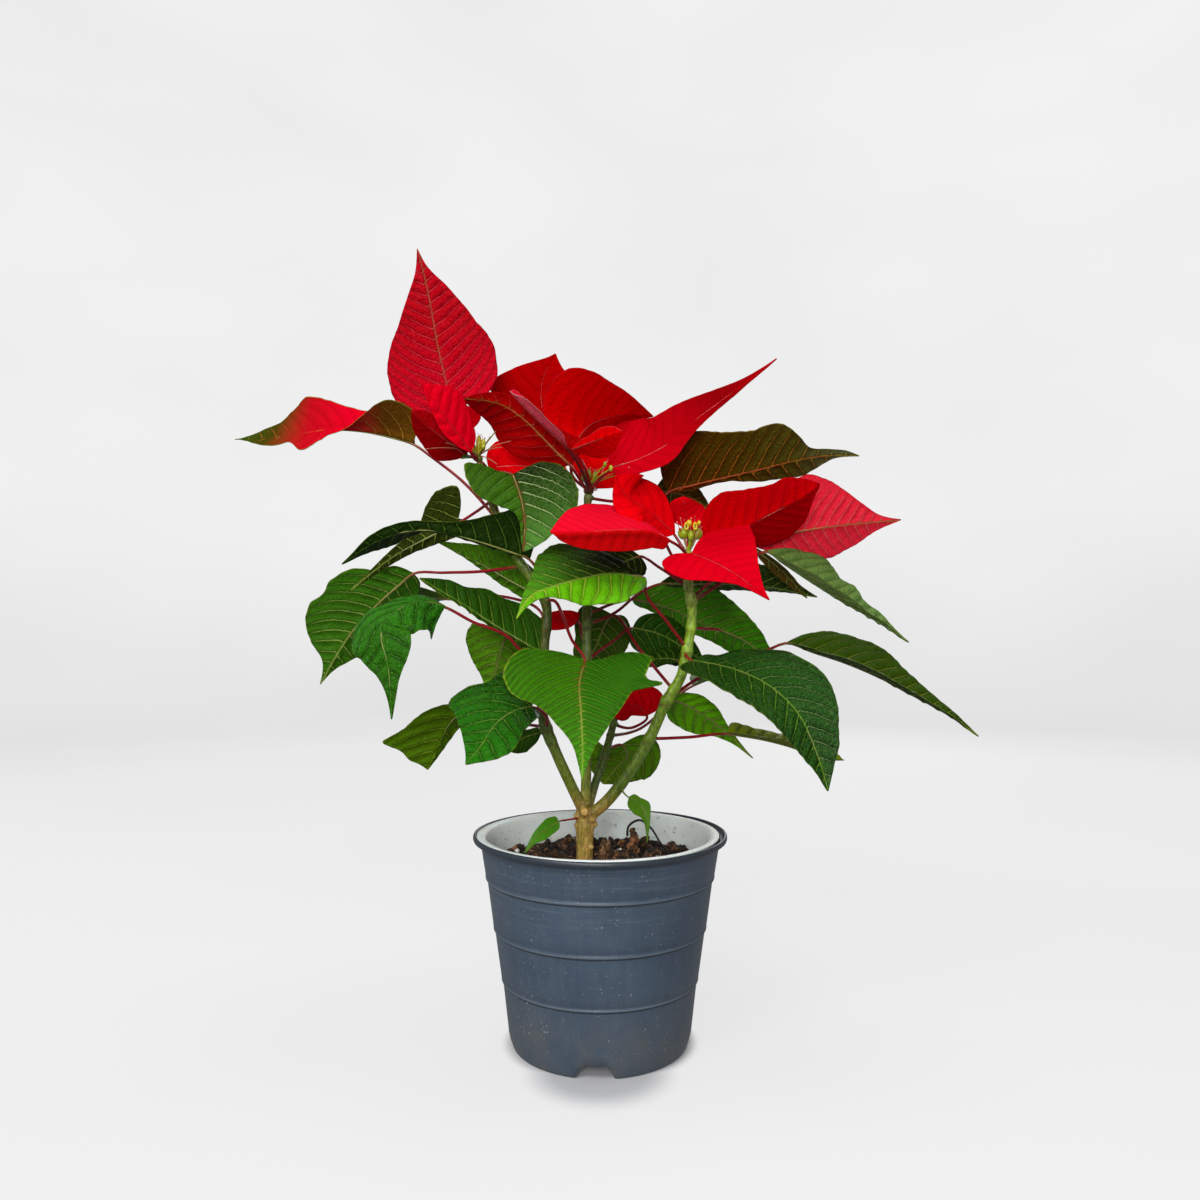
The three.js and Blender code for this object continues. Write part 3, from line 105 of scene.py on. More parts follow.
def curve(points):
    """Smooth curve through points, straight on past its ends: t -> place and run, as arrays."""
    p = np.asarray(points, float)
    knots = arc_lengths(p)
    k = knots / knots[-1]
    h = np.diff(k)[:, None]
    chord = np.diff(p, axis=0) / h
    m = np.empty_like(p)
    m[0], m[-1] = chord[0], chord[-1]
    if len(p) > 2:
        m[1:-1] = (chord[:-1] * h[1:] + chord[1:] * h[:-1]) / (h[:-1] + h[1:])
        m[0] = 1.5 * chord[0] - 0.5 * m[1]
        m[-1] = 1.5 * chord[-1] - 0.5 * m[-2]

    def at(t):
        t = np.asarray(t, float)
        c = np.clip(t, 0, 1)
        i = np.clip(np.searchsorted(k, c, side="right") - 1, 0, len(p) - 2)
        span = h[i, 0][..., None]
        u = (c - k[i])[..., None] / span
        place = ((2 * u**3 - 3 * u**2 + 1) * p[i] + (u**3 - 2 * u**2 + u) * span * m[i]
                 + (3 * u**2 - 2 * u**3) * p[i + 1] + (u**3 - u**2) * span * m[i + 1])
        run = ((6 * u**2 - 6 * u) * (p[i] - p[i + 1]) / span
               + (3 * u**2 - 4 * u + 1) * m[i] + (3 * u**2 - 2 * u) * m[i + 1])
        return place + run * (t - c)[..., None], run
    return at


def along(values, s):
    """Values spaced evenly from base to tip, read at s; numbers or vectors."""
    v = np.asarray(values, float)
    if len(v) == 1:
        return np.broadcast_to(v[0], np.shape(s) + v.shape[1:])
    x = np.clip(s, 0, 1) * (len(v) - 1)
    i = np.minimum(x.astype(int), len(v) - 2)
    mix = x - i
    if v.ndim > 1:
        mix = mix[..., None]
    return v[i] * (1 - mix) + v[i + 1] * mix


# ------------------------------------------------------------------ mesh helpers

LAYERS = {"tint": ("FLOAT_COLOR", 4, "color"), "veintint": ("FLOAT_COLOR", 4, "color"),
          "flat": ("FLOAT_VECTOR", 3, "vector"), "marks": ("FLOAT_VECTOR", 3, "vector")}


def add_layer(mesh, key, values):
    kind, width, field = LAYERS[key]
    mesh.attributes.new(key, kind, "POINT").data.foreach_set(field, values.astype(np.float32).ravel())


def add_object(name, data):
    thing = bpy.data.objects.new(name, data)
    bpy.context.scene.collection.objects.link(thing)
    return thing


def mesh_piece(name, parts, materials):
    """One object from parts, each a dict of verts in mm, faces, material number and point layers."""
    verts, faces, slots = [], [], []
    start = 0
    for part in parts:
        verts.append(np.asarray(part["verts"], float))
        faces += [[int(i) + start for i in face] for face in part["faces"]]
        slots += [part.get("material", 0)] * len(part["faces"])
        start += len(part["verts"])
    mesh = bpy.data.meshes.new(name)
    mesh.from_pydata((np.concatenate(verts) * MM).tolist(), [], faces)
    for key, (kind, width, field) in LAYERS.items():
        rows = []
        for v, part in zip(verts, parts):
            value = np.atleast_2d(part.get(key, np.zeros(width)))
            value = np.broadcast_to(value, (len(v), value.shape[1]))
            rows.append(np.concatenate([value, np.ones((len(v), width - value.shape[1]))], axis=1))
        add_layer(mesh, key, np.concatenate(rows))
    for material in materials:
        mesh.materials.append(material)
    mesh.polygons.foreach_set("material_index", slots)
    mesh.polygons.foreach_set("use_smooth", [True] * len(faces))
    mesh.validate()
    mesh.update()
    return add_object(name, mesh)


def dress(piece, slot, *nodes):
    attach(piece, "root")
    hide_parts(*nodes)


def grid_faces(rows, columns, wrap=False):
    """Quads over a grid of rows x columns points, closed round if wrap."""
    faces = []
    for i in range(rows - 1):
        for j in range(columns if wrap else columns - 1):
            k = (j + 1) % columns
            faces.append((i * columns + j, i * columns + k, (i + 1) * columns + k, (i + 1) * columns + j))
    return faces


def closed_faces(rows, sides):
    """Quads over rows of rings, closed by fans at both ends; the two end points follow the rings' points."""
    faces = grid_faces(rows, sides, wrap=True)
    first, last, top = rows * sides, rows * sides + 1, (rows - 1) * sides
    for k in range(sides):
        after = (k + 1) % sides
        faces += [(first, after, k), (last, top + k, top + after)]
    return faces


def circle(radius, angles, height, middle_x=0.0):
    """Points of a level ring."""
    heights = np.broadcast_to(height, angles.shape)
    return np.stack([radius * np.cos(angles) + middle_x, radius * np.sin(angles), heights], axis=1)


def turns(count):
    return 2 * np.pi * np.arange(count) / count


def tube(points, radii, sides=8, steps=24, tint=(0.5, 0.1, 0.1), lumps=0.0, seed=0, oval=1.0, round_end=True):
    """A closed round stalk along a smooth curve; round_end narrows its last ring."""
    ts = np.linspace(0, 1, steps + 1)
    place, run = curve(points)(ts)
    ahead = unit(run)
    side = np.array([0.3, 1, 0.2])
    radius = along(radii, ts).copy()
    if round_end:
        radius[-1] *= 0.55
    angles = turns(sides)
    length = arc_lengths(place)
    rings, flat = [], []
    for i in range(steps + 1):
        side = unit(side - ahead[i] * np.dot(side, ahead[i]))
        over = np.cross(ahead[i], side)
        r = radius[i] * (1 + lumps * ripple(length[i] * 0.5 + 0 * angles, 3 * np.cos(angles), seed, 0.7))
        rings.append(place[i] + r[:, None] * (np.cos(angles)[:, None] * side
                                              + oval * np.sin(angles)[:, None] * over))
        flat += [(angle * radius[i], length[i], seed * 7.0) for angle in angles]
    flat += [(0, 0, seed * 7.0), (0, length[-1], seed * 7.0)]
    colour = np.asarray(tint, float)
    if colour.ndim > 1:
        at_rings = along(colour, ts)
        colour = np.concatenate([np.repeat(at_rings, sides, axis=0), at_rings[:1], at_rings[-1:]])
    return {"verts": np.concatenate(rings + [place[:1], place[-1:]]), "faces": closed_faces(steps + 1, sides),
            "tint": colour, "flat": np.array(flat)}


def egg(centre, radius, stretch=1.0, sides=14, rings=9, tint=(0.3, 0.4, 0.05), dent=0.0, seed=0):
    """A small closed ovoid, with a dent in its top if asked."""
    angles = turns(sides)
    verts = []
    for up in np.linspace(0, np.pi, rings + 2)[1:-1]:
        level = -math.cos(up)
        r = radius * math.sin(up) * (1 + 0.06 * ripple(2 * np.cos(angles), 2 * np.sin(angles) + up, seed))
        verts.append(circle(r, angles, radius * stretch * level - dent * radius * max(level, 0) ** 3))
    verts += [[[0, 0, -radius * stretch]], [[0, 0, radius * stretch * (1 - dent)]]]
    verts = np.concatenate(verts)
    return {"verts": verts + np.asarray(centre, float), "faces": closed_faces(rings, sides), "tint": tint,
            "flat": verts}


def lathe(profile, step, sides, middle_x, shaped):
    """A solid of revolution about +Z from [radius, height] points that start and end on the axis.
    Points are added so that none lie further apart than step; shaped changes the rings' points."""
    dense = [profile[0]]
    for a, b in zip(profile, profile[1:]):
        count = max(1, math.ceil(math.dist(a, b) / step))
        dense += [(lerp(a[0], b[0], i / count), lerp(a[1], b[1], i / count)) for i in range(1, count + 1)]
    rings = [circle(radius, turns(sides), height) for radius, height in dense[1:-1]]
    ends = [[0, 0, dense[0][1]], [0, 0, dense[-1][1]]]
    verts = np.concatenate([shaped(np.concatenate(rings)), ends])
    verts[:, 0] += middle_x
    return {"verts": verts, "faces": closed_faces(len(rings), sides)}


# ------------------------------------------------------------------ material helpers

class Nodes:
    """Short calls for the nodes of one material."""

    def __init__(self, name):
        self.material = bpy.data.materials.new(name)
        self.material.use_nodes = True
        self.tree = self.material.node_tree
        self.shader = self.tree.nodes["Principled BSDF"]

    def add(self, kind, *inputs, **settings):
        """A new node with its settings and its first inputs."""
        node = self.tree.nodes.new(kind)
        for key, value in settings.items():
            setattr(node, key, value)
        for value, socket in zip(inputs, node.inputs):
            self.link(value, socket)
        return node

    def link(self, source, target):
        if isinstance(source, (int, float)):
            target.default_value = source
        elif isinstance(source, tuple):
            target.default_value = (*source, 1.0)[:len(target.default_value)]
        else:
            self.tree.links.new(source, target)

    def attribute(self, name):
        return self.add("ShaderNodeAttribute", attribute_name=name)

    def math(self, operation, a, b=0.0, c=0.0, clamp=False):
        return self.add("ShaderNodeMath", a, b, c, operation=operation, use_clamp=clamp).outputs[0]

    def times(self, a, b, clamp=False):
        return self.math("MULTIPLY", a, b, clamp=clamp)

    def plus(self, a, b):
        return self.math("ADD", a, b)

    def mix(self, factor, a, b, blend="MIX"):
        node = self.add("ShaderNodeMix", data_type="RGBA", blend_type=blend, clamp_factor=True)
        for number, value in ((0, factor), (6, a), (7, b)):
            self.link(value, node.inputs[number])
        return node.outputs[2]

    def gray(self, value):
        return self.add("ShaderNodeCombineColor", value, value, value).outputs[0]

    def shaded(self, colour, shade):
        return self.mix(1.0, colour, self.gray(shade), "MULTIPLY")

    def ramp(self, value, low, high, out_low=0.0, out_high=1.0):
        return self.add("ShaderNodeMapRange", value, low, high, out_low, out_high,
                        interpolation_type="SMOOTHSTEP", clamp=True).outputs[0]

    def texture(self, kind, where, settings, sockets):
        node = self.add(kind, **settings)
        self.link(where, node.inputs["Vector"])
        for key, value in sockets.items():
            node.inputs[key].default_value = value
        return node.outputs[0]

    def noise(self, where, scale, detail=3.0, rough=0.55):
        return self.texture("ShaderNodeTexNoise", where, {},
                            {"Scale": scale, "Detail": detail, "Roughness": rough})

    def cells(self, where, scale, feature="DISTANCE_TO_EDGE", randomness=1.0):
        return self.texture("ShaderNodeTexVoronoi", where, {"feature": feature},
                            {"Scale": scale, "Randomness": randomness})

    def vector(self, operation, where, numbers):
        return self.add("ShaderNodeVectorMath", where, numbers, operation=operation).outputs[0]

    def scaled(self, where, factors):
        return self.vector("MULTIPLY", where, factors)

    def split(self, vector):
        return self.add("ShaderNodeSeparateXYZ", vector).outputs

    def place(self):
        """The object's own place in metres."""
        return self.add("ShaderNodeTexCoord").outputs["Object"]

    def place_mm(self):
        return self.scaled(self.place(), (1000.0, 1000.0, 1000.0))

    def bump(self, height, strength, distance):
        node = self.add("ShaderNodeBump")
        node.inputs["Strength"].default_value = strength
        node.inputs["Distance"].default_value = distance
        self.link(height, node.inputs["Height"])
        return node.outputs[0]

    def finish(self, colour, roughness, normal=None, **constants):
        self.link(colour, self.shader.inputs["Base Color"])
        self.link(roughness, self.shader.inputs["Roughness"])
        if normal is not None:
            self.link(normal, self.shader.inputs["Normal"])
        for key, value in constants.items():
            self.shader.inputs[key.replace("_", " ")].default_value = value
        return self.material


def blade_material(name, rough, specular, vein_width, relief, depth, mottle_and_vein_shade, vein_net_and_glint_share=0.12, dust=0.0):
    """Tissue colour and vein colour come from the mesh; veins, mottling, painted shade beside the veins, a fine
    net partly painted as glints, and fine relief are drawn here.
    flat is (across, along, seed) in mm. marks is (mm along the midrib where this place's side vein leaves
    it, mm from the midrib, share out to the margin). veintint's alpha is a tenth of the vein spacing."""
    n = Nodes(name)
    flat = n.attribute("flat").outputs["Vector"]
    vein_layer = n.attribute("veintint")
    half_spacing = n.times(vein_layer.outputs["Alpha"], 5.0)
    foot, rib, out = n.split(n.attribute("marks").outputs["Vector"])
    wobble = n.math("MULTIPLY_ADD", n.noise(flat, 0.11, 2), 2.4, -1.2)
    near = n.math("PINGPONG", n.plus(foot, wobble), half_spacing)
    width = n.math("MULTIPLY_ADD", out, -0.6 * vein_width, vein_width)
    side_line = n.ramp(n.math("DIVIDE", near, width), 0.4, 1.0, 1.0, 0.0)
    side_line = n.times(side_line, n.ramp(out, 0.72, 0.97, 1.0, 0.1))
    rib_line = n.ramp(rib, 0.35 * vein_width, 1.25 * vein_width, 1.0, 0.0)
    lines = n.math("MAXIMUM", side_line, rib_line)
    net = n.ramp(n.cells(n.scaled(flat, (1.0, 1.25, 1.0)), 0.34), 0.0, 0.14, 1.0, 0.0)
    patchy = n.noise(flat, 0.06, 4, 0.6)
    grain = n.noise(flat, 1.1, 3, 0.6)
    shade = n.plus(n.times(n.math("SUBTRACT", patchy, 0.5), mottle_and_vein_shade),
                   n.times(n.math("SUBTRACT", grain, 0.5), 0.5 * mottle_and_vein_shade))
    # painted shade: darker tissue beside each vein, where the quilted tissue dips
    groove = n.ramp(near, 0.0, 2.4, -0.8 * mottle_and_vein_shade, 0.0)
    toned = n.shaded(n.attribute("tint").outputs["Color"], n.plus(n.plus(shade, groove), 1.0))
    # the fine net is painted in the vein colour as a real vein net; the larger share that glossy skins give it
    # is painted glints
    colour = n.mix(n.math("MAXIMUM", lines, n.times(net, vein_net_and_glint_share)), toned, vein_layer.outputs["Color"])
    if dust:
        spots = n.ramp(n.noise(flat, 0.5, 5, 0.75), 0.52, 0.72)
        colour = n.mix(n.times(spots, dust), colour, (0.20, 0.23, 0.17))
    pillow = n.cells(n.scaled(flat, (1.0, 1.2, 1.0)), 0.42, "SMOOTH_F1", 0.9)
    fine = n.ramp(n.cells(flat, 0.85), 0.0, 0.18, 1.0, 0.0)
    height = n.times(pillow, -1.0)
    for layer, weight in ((net, -0.4), (fine, -0.15), (lines, -0.8), (grain, 0.35)):
        height = n.plus(height, n.times(layer, weight))
    roughness = n.plus(rough - 0.06, n.times(patchy, 0.12))
    return n.finish(colour, roughness, n.bump(height, relief, depth * MM), Specular_IOR_Level=specular)


def stalk_material(name, rough, streak, depth, specular):
    """Colour from the mesh with streaks along the stalk and blotches; flat is (round, along, seed) in mm."""
    n = Nodes(name)
    flat = n.attribute("flat").outputs["Vector"]
    grain = n.noise(n.scaled(flat, (1.6, 0.16, 1.0)), 1.0, 4, 0.65)
    spots = n.noise(n.scaled(flat, (1.0, 0.6, 1.0)), 0.45, 4, 0.65)
    lines = n.ramp(grain, 0.36, 0.60, -0.5 * streak, 0.3 * streak)
    blots = n.ramp(spots, 0.36, 0.64, -0.35 * streak, 0.35 * streak)
    colour = n.shaded(n.attribute("tint").outputs["Color"], n.plus(n.plus(lines, blots), 1.0))
    return n.finish(colour, n.math("MULTIPLY_ADD", spots, 0.2, rough - 0.1), n.bump(grain, depth, 0.0005),
                    Specular_IOR_Level=specular)


# ------------------------------------------------------------------ lines and margins of the blades

PLAIN_FOLD = 8
PLAIN_MARGIN = ((5, 0.3), (16, 0.8), (34, 1), (55, 0.82), (75, 0.42), (90, 0.15))


def lobed(name, petiole, midrib, top, left_fold, right_fold, left, right):
    """Lines of places in mm, the way that the upper face looks, folds in degrees from base to tip,
    and for each half its margin as (percent of the length, mm from the midrib)."""
    return {"name": name, "petiole": petiole, "midrib": midrib, "top": top,
            "folds": {-1: left_fold, 1: right_fold}, "margins": {-1: left, 1: right}}


def plain(name, half_width, petiole, midrib, top):
    """A blade with two even halves."""
    half = [(percent, share * half_width) for percent, share in PLAIN_MARGIN]
    return lobed(name, petiole, midrib, top, [PLAIN_FOLD], [PLAIN_FOLD], half, half)


LEAVES = [
    lobed("leaf_far_left", [(-62, -7, 304), (-83, -4, 331), (-102, -1, 346)],
          [(-112, 0, 354), (-136, 3, 361), (-163, 6, 364), (-195, 9, 360), (-225, 12, 359)],
          [(0, -0.1, 1), (0, -0.3, 1), (0, -0.2, 1)], [80, 40, -35, -20, 0], [30, 40, 45, 30, 20],
          [(5, 20), (15, 25), (26, 16), (38, 8), (50, 10), (60, 20), (68, 10), (80, 14), (90, 8)],
          [(10, 16), (28, 18), (44, 20), (58, 31), (68, 38), (75, 30), (80, 18), (87, 15), (94, 5)]),
    lobed("leaf_upper_left_back", [(-65, -3, 319), (-75, 8, 314)],
          [(-88, 16, 308), (-103, 18, 301), (-126, 15, 288), (-153, 12, 266)], [(-0.2, 0.75, 0.65)], [5],
          [5], [(-10, 10), (-15, 22), (-1, 25), (15, 19), (27, 11), (48, 6), (75, 2)],
          [(10, 8), (30, 7), (57, 5), (80, 3)]),
    lobed("leaf_upper_left_front", [(-34, -8, 263), (-35, -11, 272)],
          [(-41, -16, 283), (-64, -24, 291), (-84, -28, 296), (-103, -30, 299), (-123, -30, 294),
           (-148, -26, 279)], [(0, 0.35, 1)], [45, 45, 30, 0], [10],
          [(4, 18), (11, 26), (24, 18), (36, 10), (52, 5), (66, 6), (80, 5), (92, 2)],
          [(8, 4), (20, 8), (35, 6), (50, 5), (65, 14), (75, 18), (86, 9), (95, 3)]),
    lobed("leaf_left_veined", [(-36, -3, 266), (-37, 2, 265)],
          [(-36, 8, 262), (-55, 16, 272), (-76, 24, 284), (-104, 34, 298)], [(0, 0.7, 0.7)], [5], [0],
          [(5, 13), (22, 21), (46, 18), (70, 10), (88, 4)], [(10, 8), (30, 8), (55, 5), (80, 2)]),
    lobed("leaf_left_mid", [(-49, -2, 277), (-74, 8, 277), (-97, 18, 277)],
          [(-117, 24, 277), (-139, 36, 261), (-159, 46, 243), (-184, 56, 206)], [(-0.25, 0.9, 0.35)], [12],
          [12], [(5, 10), (17, 16), (28, 27), (44, 31), (52, 29), (60, 32), (72, 26), (79, 18), (86, 6)],
          [(2, 7), (16, 16), (35, 22), (60, 21), (79, 10), (90, 3)]),
    lobed("leaf_left_bright", [(-33, -9, 219), (-47, -14, 230), (-53, -18, 237), (-73, -26, 246)],
          [(-88, -32, 255), (-101, -42, 257), (-111, -50, 252), (-118, -56, 244), (-115, -61, 232),
           (-112, -64, 217), (-110, -66, 194)],
          [(-0.2, -0.5, 0.85), (-0.45, -0.6, 0.5), (-0.2, -0.95, 0.15)], [-60, -20, 0], [-5],
          [(4, 12), (10, 22), (16, 20), (28, 18), (45, 17), (62, 14), (80, 5), (92, 2)],
          [(5, 14), (25, 17), (46, 22), (55, 20), (66, 14), (76, 7), (85, 3)]),
    lobed("leaf_left_inner", [(-33, -2, 221)],
          [(-37, 3, 229), (-61, 2, 243), (-84, -2, 258), (-107, -8, 272)], [(0, -0.7, 0.7)], [30], [0],
          [(15, 9), (35, 7), (65, 5), (85, 3)],
          [(6, 20), (28, 25), (44, 22), (56, 20), (69, 13), (80, 11), (92, 5)]),
    lobed("leaf_left_low_back", [(-33, -3, 208), (-43, 14, 226)],
          [(-59, 26, 238), (-64, 34, 226), (-68, 42, 213), (-74, 50, 196)], [(-0.3, 0.85, 0.35)], [6], [6],
          [(-8, 10), (-8, 22), (12, 24), (34, 19), (52, 13), (73, 6)],
          [(-6, 9), (12, 18), (43, 18), (71, 10)]),
    lobed("leaf_left_glossy", [(-32, -9, 183), (-32, -20, 193)],
          [(-38, -30, 198), (-46, -38, 197), (-56, -48, 191), (-64, -58, 179), (-71, -64, 170)],
          [(-0.3, -0.8, 0.6)], [5], [5], [(5, 10), (25, 16), (58, 20), (73, 20), (84, 14), (93, 6)],
          [(-15, 14), (0, 33), (20, 29), (38, 34), (49, 34), (54, 26), (65, 18), (80, 11), (92, 4)]),
    lobed("leaf_left_small", [(-31, -5, 176), (-33, 3, 178)],
          [(-36, 10, 179), (-43, 14, 177), (-51, 18, 173), (-59, 22, 168)], [(0, -0.8, 0.5)], [5], [5],
          [(5, 6), (30, 10), (60, 9), (85, 5)], [(5, 3), (30, 4), (60, 5), (85, 3)]),
    lobed("leaf_left_lowest", [(-33, -3, 184), (-40, 4, 184)],
          [(-49, 12, 185), (-72, 26, 190), (-93, 38, 186), (-104, 46, 169), (-112, 50, 151)],
          [(-0.2, 0.75, 0.6)], [10], [20],
          [(10, 8), (45, 8), (66, 20), (80, 26), (90, 33), (93, 20), (97, 13), (98, 6)],
          [(10, 20), (35, 20), (60, 12), (72, 8), (86, 5)]),
    lobed("leaf_front", [(-32, -9, 259), (-26, -16, 258), (-21, -24, 248), (-16, -34, 236)],
          [(-8, -44, 224), (-11, -56, 214), (-10, -70, 199), (-9, -82, 182), (-9, -90, 166)],
          [(0, -0.55, 0.85), (0, -0.7, 0.6), (0, -0.85, 0.5)], [5], [5],
          [(-3, 8), (-14, 24), (-10, 35), (15, 36), (34, 44), (36, 30), (45, 24), (61, 15), (79, 6),
           (92, 2)], [(-3, 8), (-3, 24), (2, 36), (20, 41), (34, 36), (43, 24), (60, 13), (76, 5), (90, 2)]),
    lobed("leaf_centre_bright", [(50, -14, 230), (39, -18, 246), (26, -24, 264)],
          [(26, -28, 271), (6, -38, 273), (-8, -47, 270), (-25, -56, 265), (-37, -64, 259),
           (-44, -68, 247)], [(0, -0.45, 0.9)], [-12], [14],
          [(2, 8), (10, 16), (25, 24), (40, 28), (50, 26), (61, 22), (70, 12), (78, 7), (90, 3)],
          [(8, 6), (14, 22), (29, 31), (39, 34), (58, 30), (68, 18), (76, 10), (88, 3)]),
    lobed("leaf_centre_top", [(-66, -12, 332), (-59, -16, 334)],
          [(-51, -20, 332), (-46, -27, 319), (-43, -33, 306), (-43, -40, 285)],
          [(0, -0.55, 0.85), (0, -0.8, 0.6)], [5], [8],
          [(-3, 7), (-6, 21), (6, 30), (34, 33), (57, 30), (66, 23), (76, 18), (89, 11), (96, 5)],
          [(-6, 8), (-18, 18), (-20, 25), (7, 28), (28, 25), (42, 15), (52, 6), (66, 3), (84, 2)]),
    lobed("leaf_mid_dark", [(40, -5, 208), (24, 14, 230)],
          [(8, 30, 251), (4, 36, 247), (-1, 42, 235), (-7, 50, 221), (-10, 56, 206)], [(-0.1, 0.9, 0.45)],
          [8], [8], [(3, 10), (14, 19), (24, 19), (45, 15), (65, 12), (85, 5)],
          [(-5, 4), (10, 17), (38, 21), (66, 17), (88, 8)]),
    lobed("leaf_right_pale", [(56, -6, 242), (64, 2, 242)],
          [(73, 10, 242), (86, 18, 237), (98, 26, 230), (110, 36, 220)], [(0.2, 0.75, 0.6)], [5], [5],
          [(10, 6), (30, 9), (63, 12), (85, 9)], [(8, 10), (17, 14), (45, 12), (65, 8), (85, 5)]),
    lobed("leaf_right_back", [(-7, 11, 250), (8, 28, 258)],
          [(21, 48, 262), (41, 58, 258), (63, 66, 249), (96, 74, 230), (112, 78, 213)], [(0.1, 0.75, 0.65)],
          [5], [5], [(4, 5), (17, 8), (32, 11), (48, 13), (65, 11), (85, 7)],
          [(5, 10), (19, 19), (43, 28), (60, 24), (73, 20), (88, 10)]),
    lobed("leaf_right_upper_dark", [(-7, 12, 244), (9, 16, 252), (27, 20, 266)],
          [(38, 22, 271), (62, 28, 271), (85, 34, 271), (112, 40, 269), (141, 46, 263)], [(0, 0.5, 0.85)],
          [20], [5], [(8, 9), (22, 13), (46, 18), (70, 14), (88, 4)],
          [(9, 13), (26, 20), (54, 21), (71, 16), (89, 5)]),
    lobed("leaf_right_thin", [(55, -8, 260), (76, 6, 278)],
          [(94, 16, 293), (108, 14, 282), (119, 13, 271), (127, 12, 261)], [(0.3, 0.3, 0.9)], [-20], [-10],
          [(25, 6), (50, 7), (75, 5)], [(25, 6), (50, 7), (75, 5)]),
    lobed("leaf_right_dusty", [(55, -15, 257), (71, -14, 269), (85, -12, 279)],
          [(99, -10, 288), (118, -8, 275), (142, -4, 260), (168, 2, 246), (187, 6, 234)],
          [(0.3, -0.75, 0.6)], [0], [50],
          [(9, 12), (22, 22), (35, 26), (40, 25), (48, 19), (61, 17), (66, 11), (78, 9), (90, 3)],
          [(8, 10), (22, 18), (40, 20), (60, 13), (82, 6)]),
    lobed("leaf_right_long", [(41, -5, 199), (58, 0, 212), (81, 5, 222), (101, 7, 229)],
          [(114, 8, 234), (136, 7, 226), (158, 4, 218), (184, 0, 204), (208, -6, 190), (222, -10, 179)],
          [(0.1, -0.5, 0.85)], [8], [35],
          [(9, 15), (21, 27), (33, 28), (46, 28), (59, 18), (75, 9), (88, 4)],
          [(12, 14), (30, 24), (50, 21), (70, 12), (88, 5)]),
    lobed("leaf_right_glossy", [(51, -14, 228), (50, -22, 226)],
          [(53, -30, 224), (65, -38, 222), (76, -46, 219), (93, -56, 210), (105, -63, 197), (113, -67, 179),
           (119, -70, 157)], [(0.2, -0.6, 0.8), (0.5, -0.7, 0.5)], [8], [8],
          [(3, 6), (10, 8), (17, 18), (28, 25), (40, 32), (50, 34), (59, 31), (72, 23), (82, 16), (92, 7)],
          [(-3, 8), (7, 20), (26, 27), (45, 29), (61, 25), (76, 17), (90, 7)]),
    lobed("leaf_small_dark", [(50, 2, 221)], [(48, 8, 223), (41, 14, 224), (33, 18, 223), (27, 22, 220)],
          [(0, -0.6, 0.8)], [5], [5], [(10, 6), (30, 11), (60, 10), (85, 5)],
          [(10, 6), (30, 11), (60, 10), (85, 5)]),
    lobed("leaf_right_inner", [(-7, 12, 223), (9, 28, 235)],
          [(21, 37, 243), (38, 41, 239), (54, 45, 230), (68, 48, 220)], [(0, -0.8, 0.5)], [5], [5],
          [(7, 8), (28, 14), (50, 14), (81, 7)], [(-3, 14), (20, 22), (45, 20), (71, 14), (88, 6)]),
    lobed("leaf_right_low_pale", [(40, 0, 200)],
          [(43, 6, 200), (53, 14, 196), (66, 20, 188), (79, 26, 178), (96, 30, 161)], [(0.1, 0.7, 0.7)], [5],
          [5], [(5, 8), (14, 14), (25, 21), (49, 20), (62, 11), (78, 4)],
          [(2, 7), (18, 11), (40, 10), (55, 6), (75, 2)]),
    lobed("leaf_right_low_olive", [(35, -2, 175), (54, 4, 177)],
          [(78, 10, 179), (98, 16, 175), (122, 22, 168), (138, 26, 162), (153, 28, 160)], [(0, 0.1, 1)],
          [35], [0], [(9, 13), (30, 11), (50, 14), (72, 18), (88, 14), (96, 7)],
          [(10, 14), (30, 22), (60, 18), (85, 8)]),
    lobed("leaf_low_back", [(3, 20, 164), (7, 34, 167)],
          [(14, 44, 168), (18, 52, 160), (11, 60, 151), (2, 68, 139)], [(0, 0.9, 0.4)], [5], [5],
          [(-8, 12), (20, 24), (60, 27), (88, 14)], [(9, 18), (29, 22), (50, 22), (78, 14)]),
    lobed("leaf_top_right", [(52, -6, 272), (41, 6, 292), (35, 12, 312)],
          [(42, 14, 327), (63, 16, 333), (93, 18, 340), (124, 20, 348), (142, 22, 351), (163, 24, 351)],
          [(0, 0.72, 0.7)], [5, 5, 5, -20], [5, 5, 5, 30],
          [(10, 4), (31, 4), (56, 12), (71, 13), (79, 8), (86, 3)],
          [(-2, 12), (0, 27), (6, 34), (14, 36), (30, 31), (45, 28), (61, 27), (69, 15), (74, 7), (85, 4),
           (93, 3)]),
    lobed("leaf_top_back", [(-6, 14, 322), (18, 26, 323)],
          [(35, 36, 331), (48, 44, 331), (62, 52, 328), (74, 58, 320)], [(0.1, 0.7, 0.7)], [5], [5],
          [(5, 8), (16, 14), (45, 20), (70, 18), (92, 9)], [(5, 10), (44, 11), (78, 5)]),
    lobed("leaf_behind_bract", [(52, -6, 266), (36, 2, 279)], [(24, 10, 287), (15, 18, 284), (3, 26, 276)],
          [(0, 0.7, 0.7)], [5], [5], [(20, 14), (40, 18), (65, 15), (88, 6)],
          [(20, 14), (40, 18), (65, 15), (88, 6)]),
    lobed("sprout_left", [(-14, -3, 128), (-19, -8, 130)],
          [(-24, -12, 130), (-30, -16, 127), (-36, -19, 123), (-43, -22, 114)], [(0, -0.8, 0.6)], [4], [4],
          [(10, 4), (31, 5), (53, 5), (76, 2)], [(-1, 3), (15, 5), (40, 4), (69, 2)]),
    lobed("sprout_right", [(12, -6, 150), (14, -10, 146)],
          [(17, -13, 144), (23, -17, 141), (26, -20, 135), (27, -22, 120)], [(0.1, -0.8, 0.6)], [4], [4],
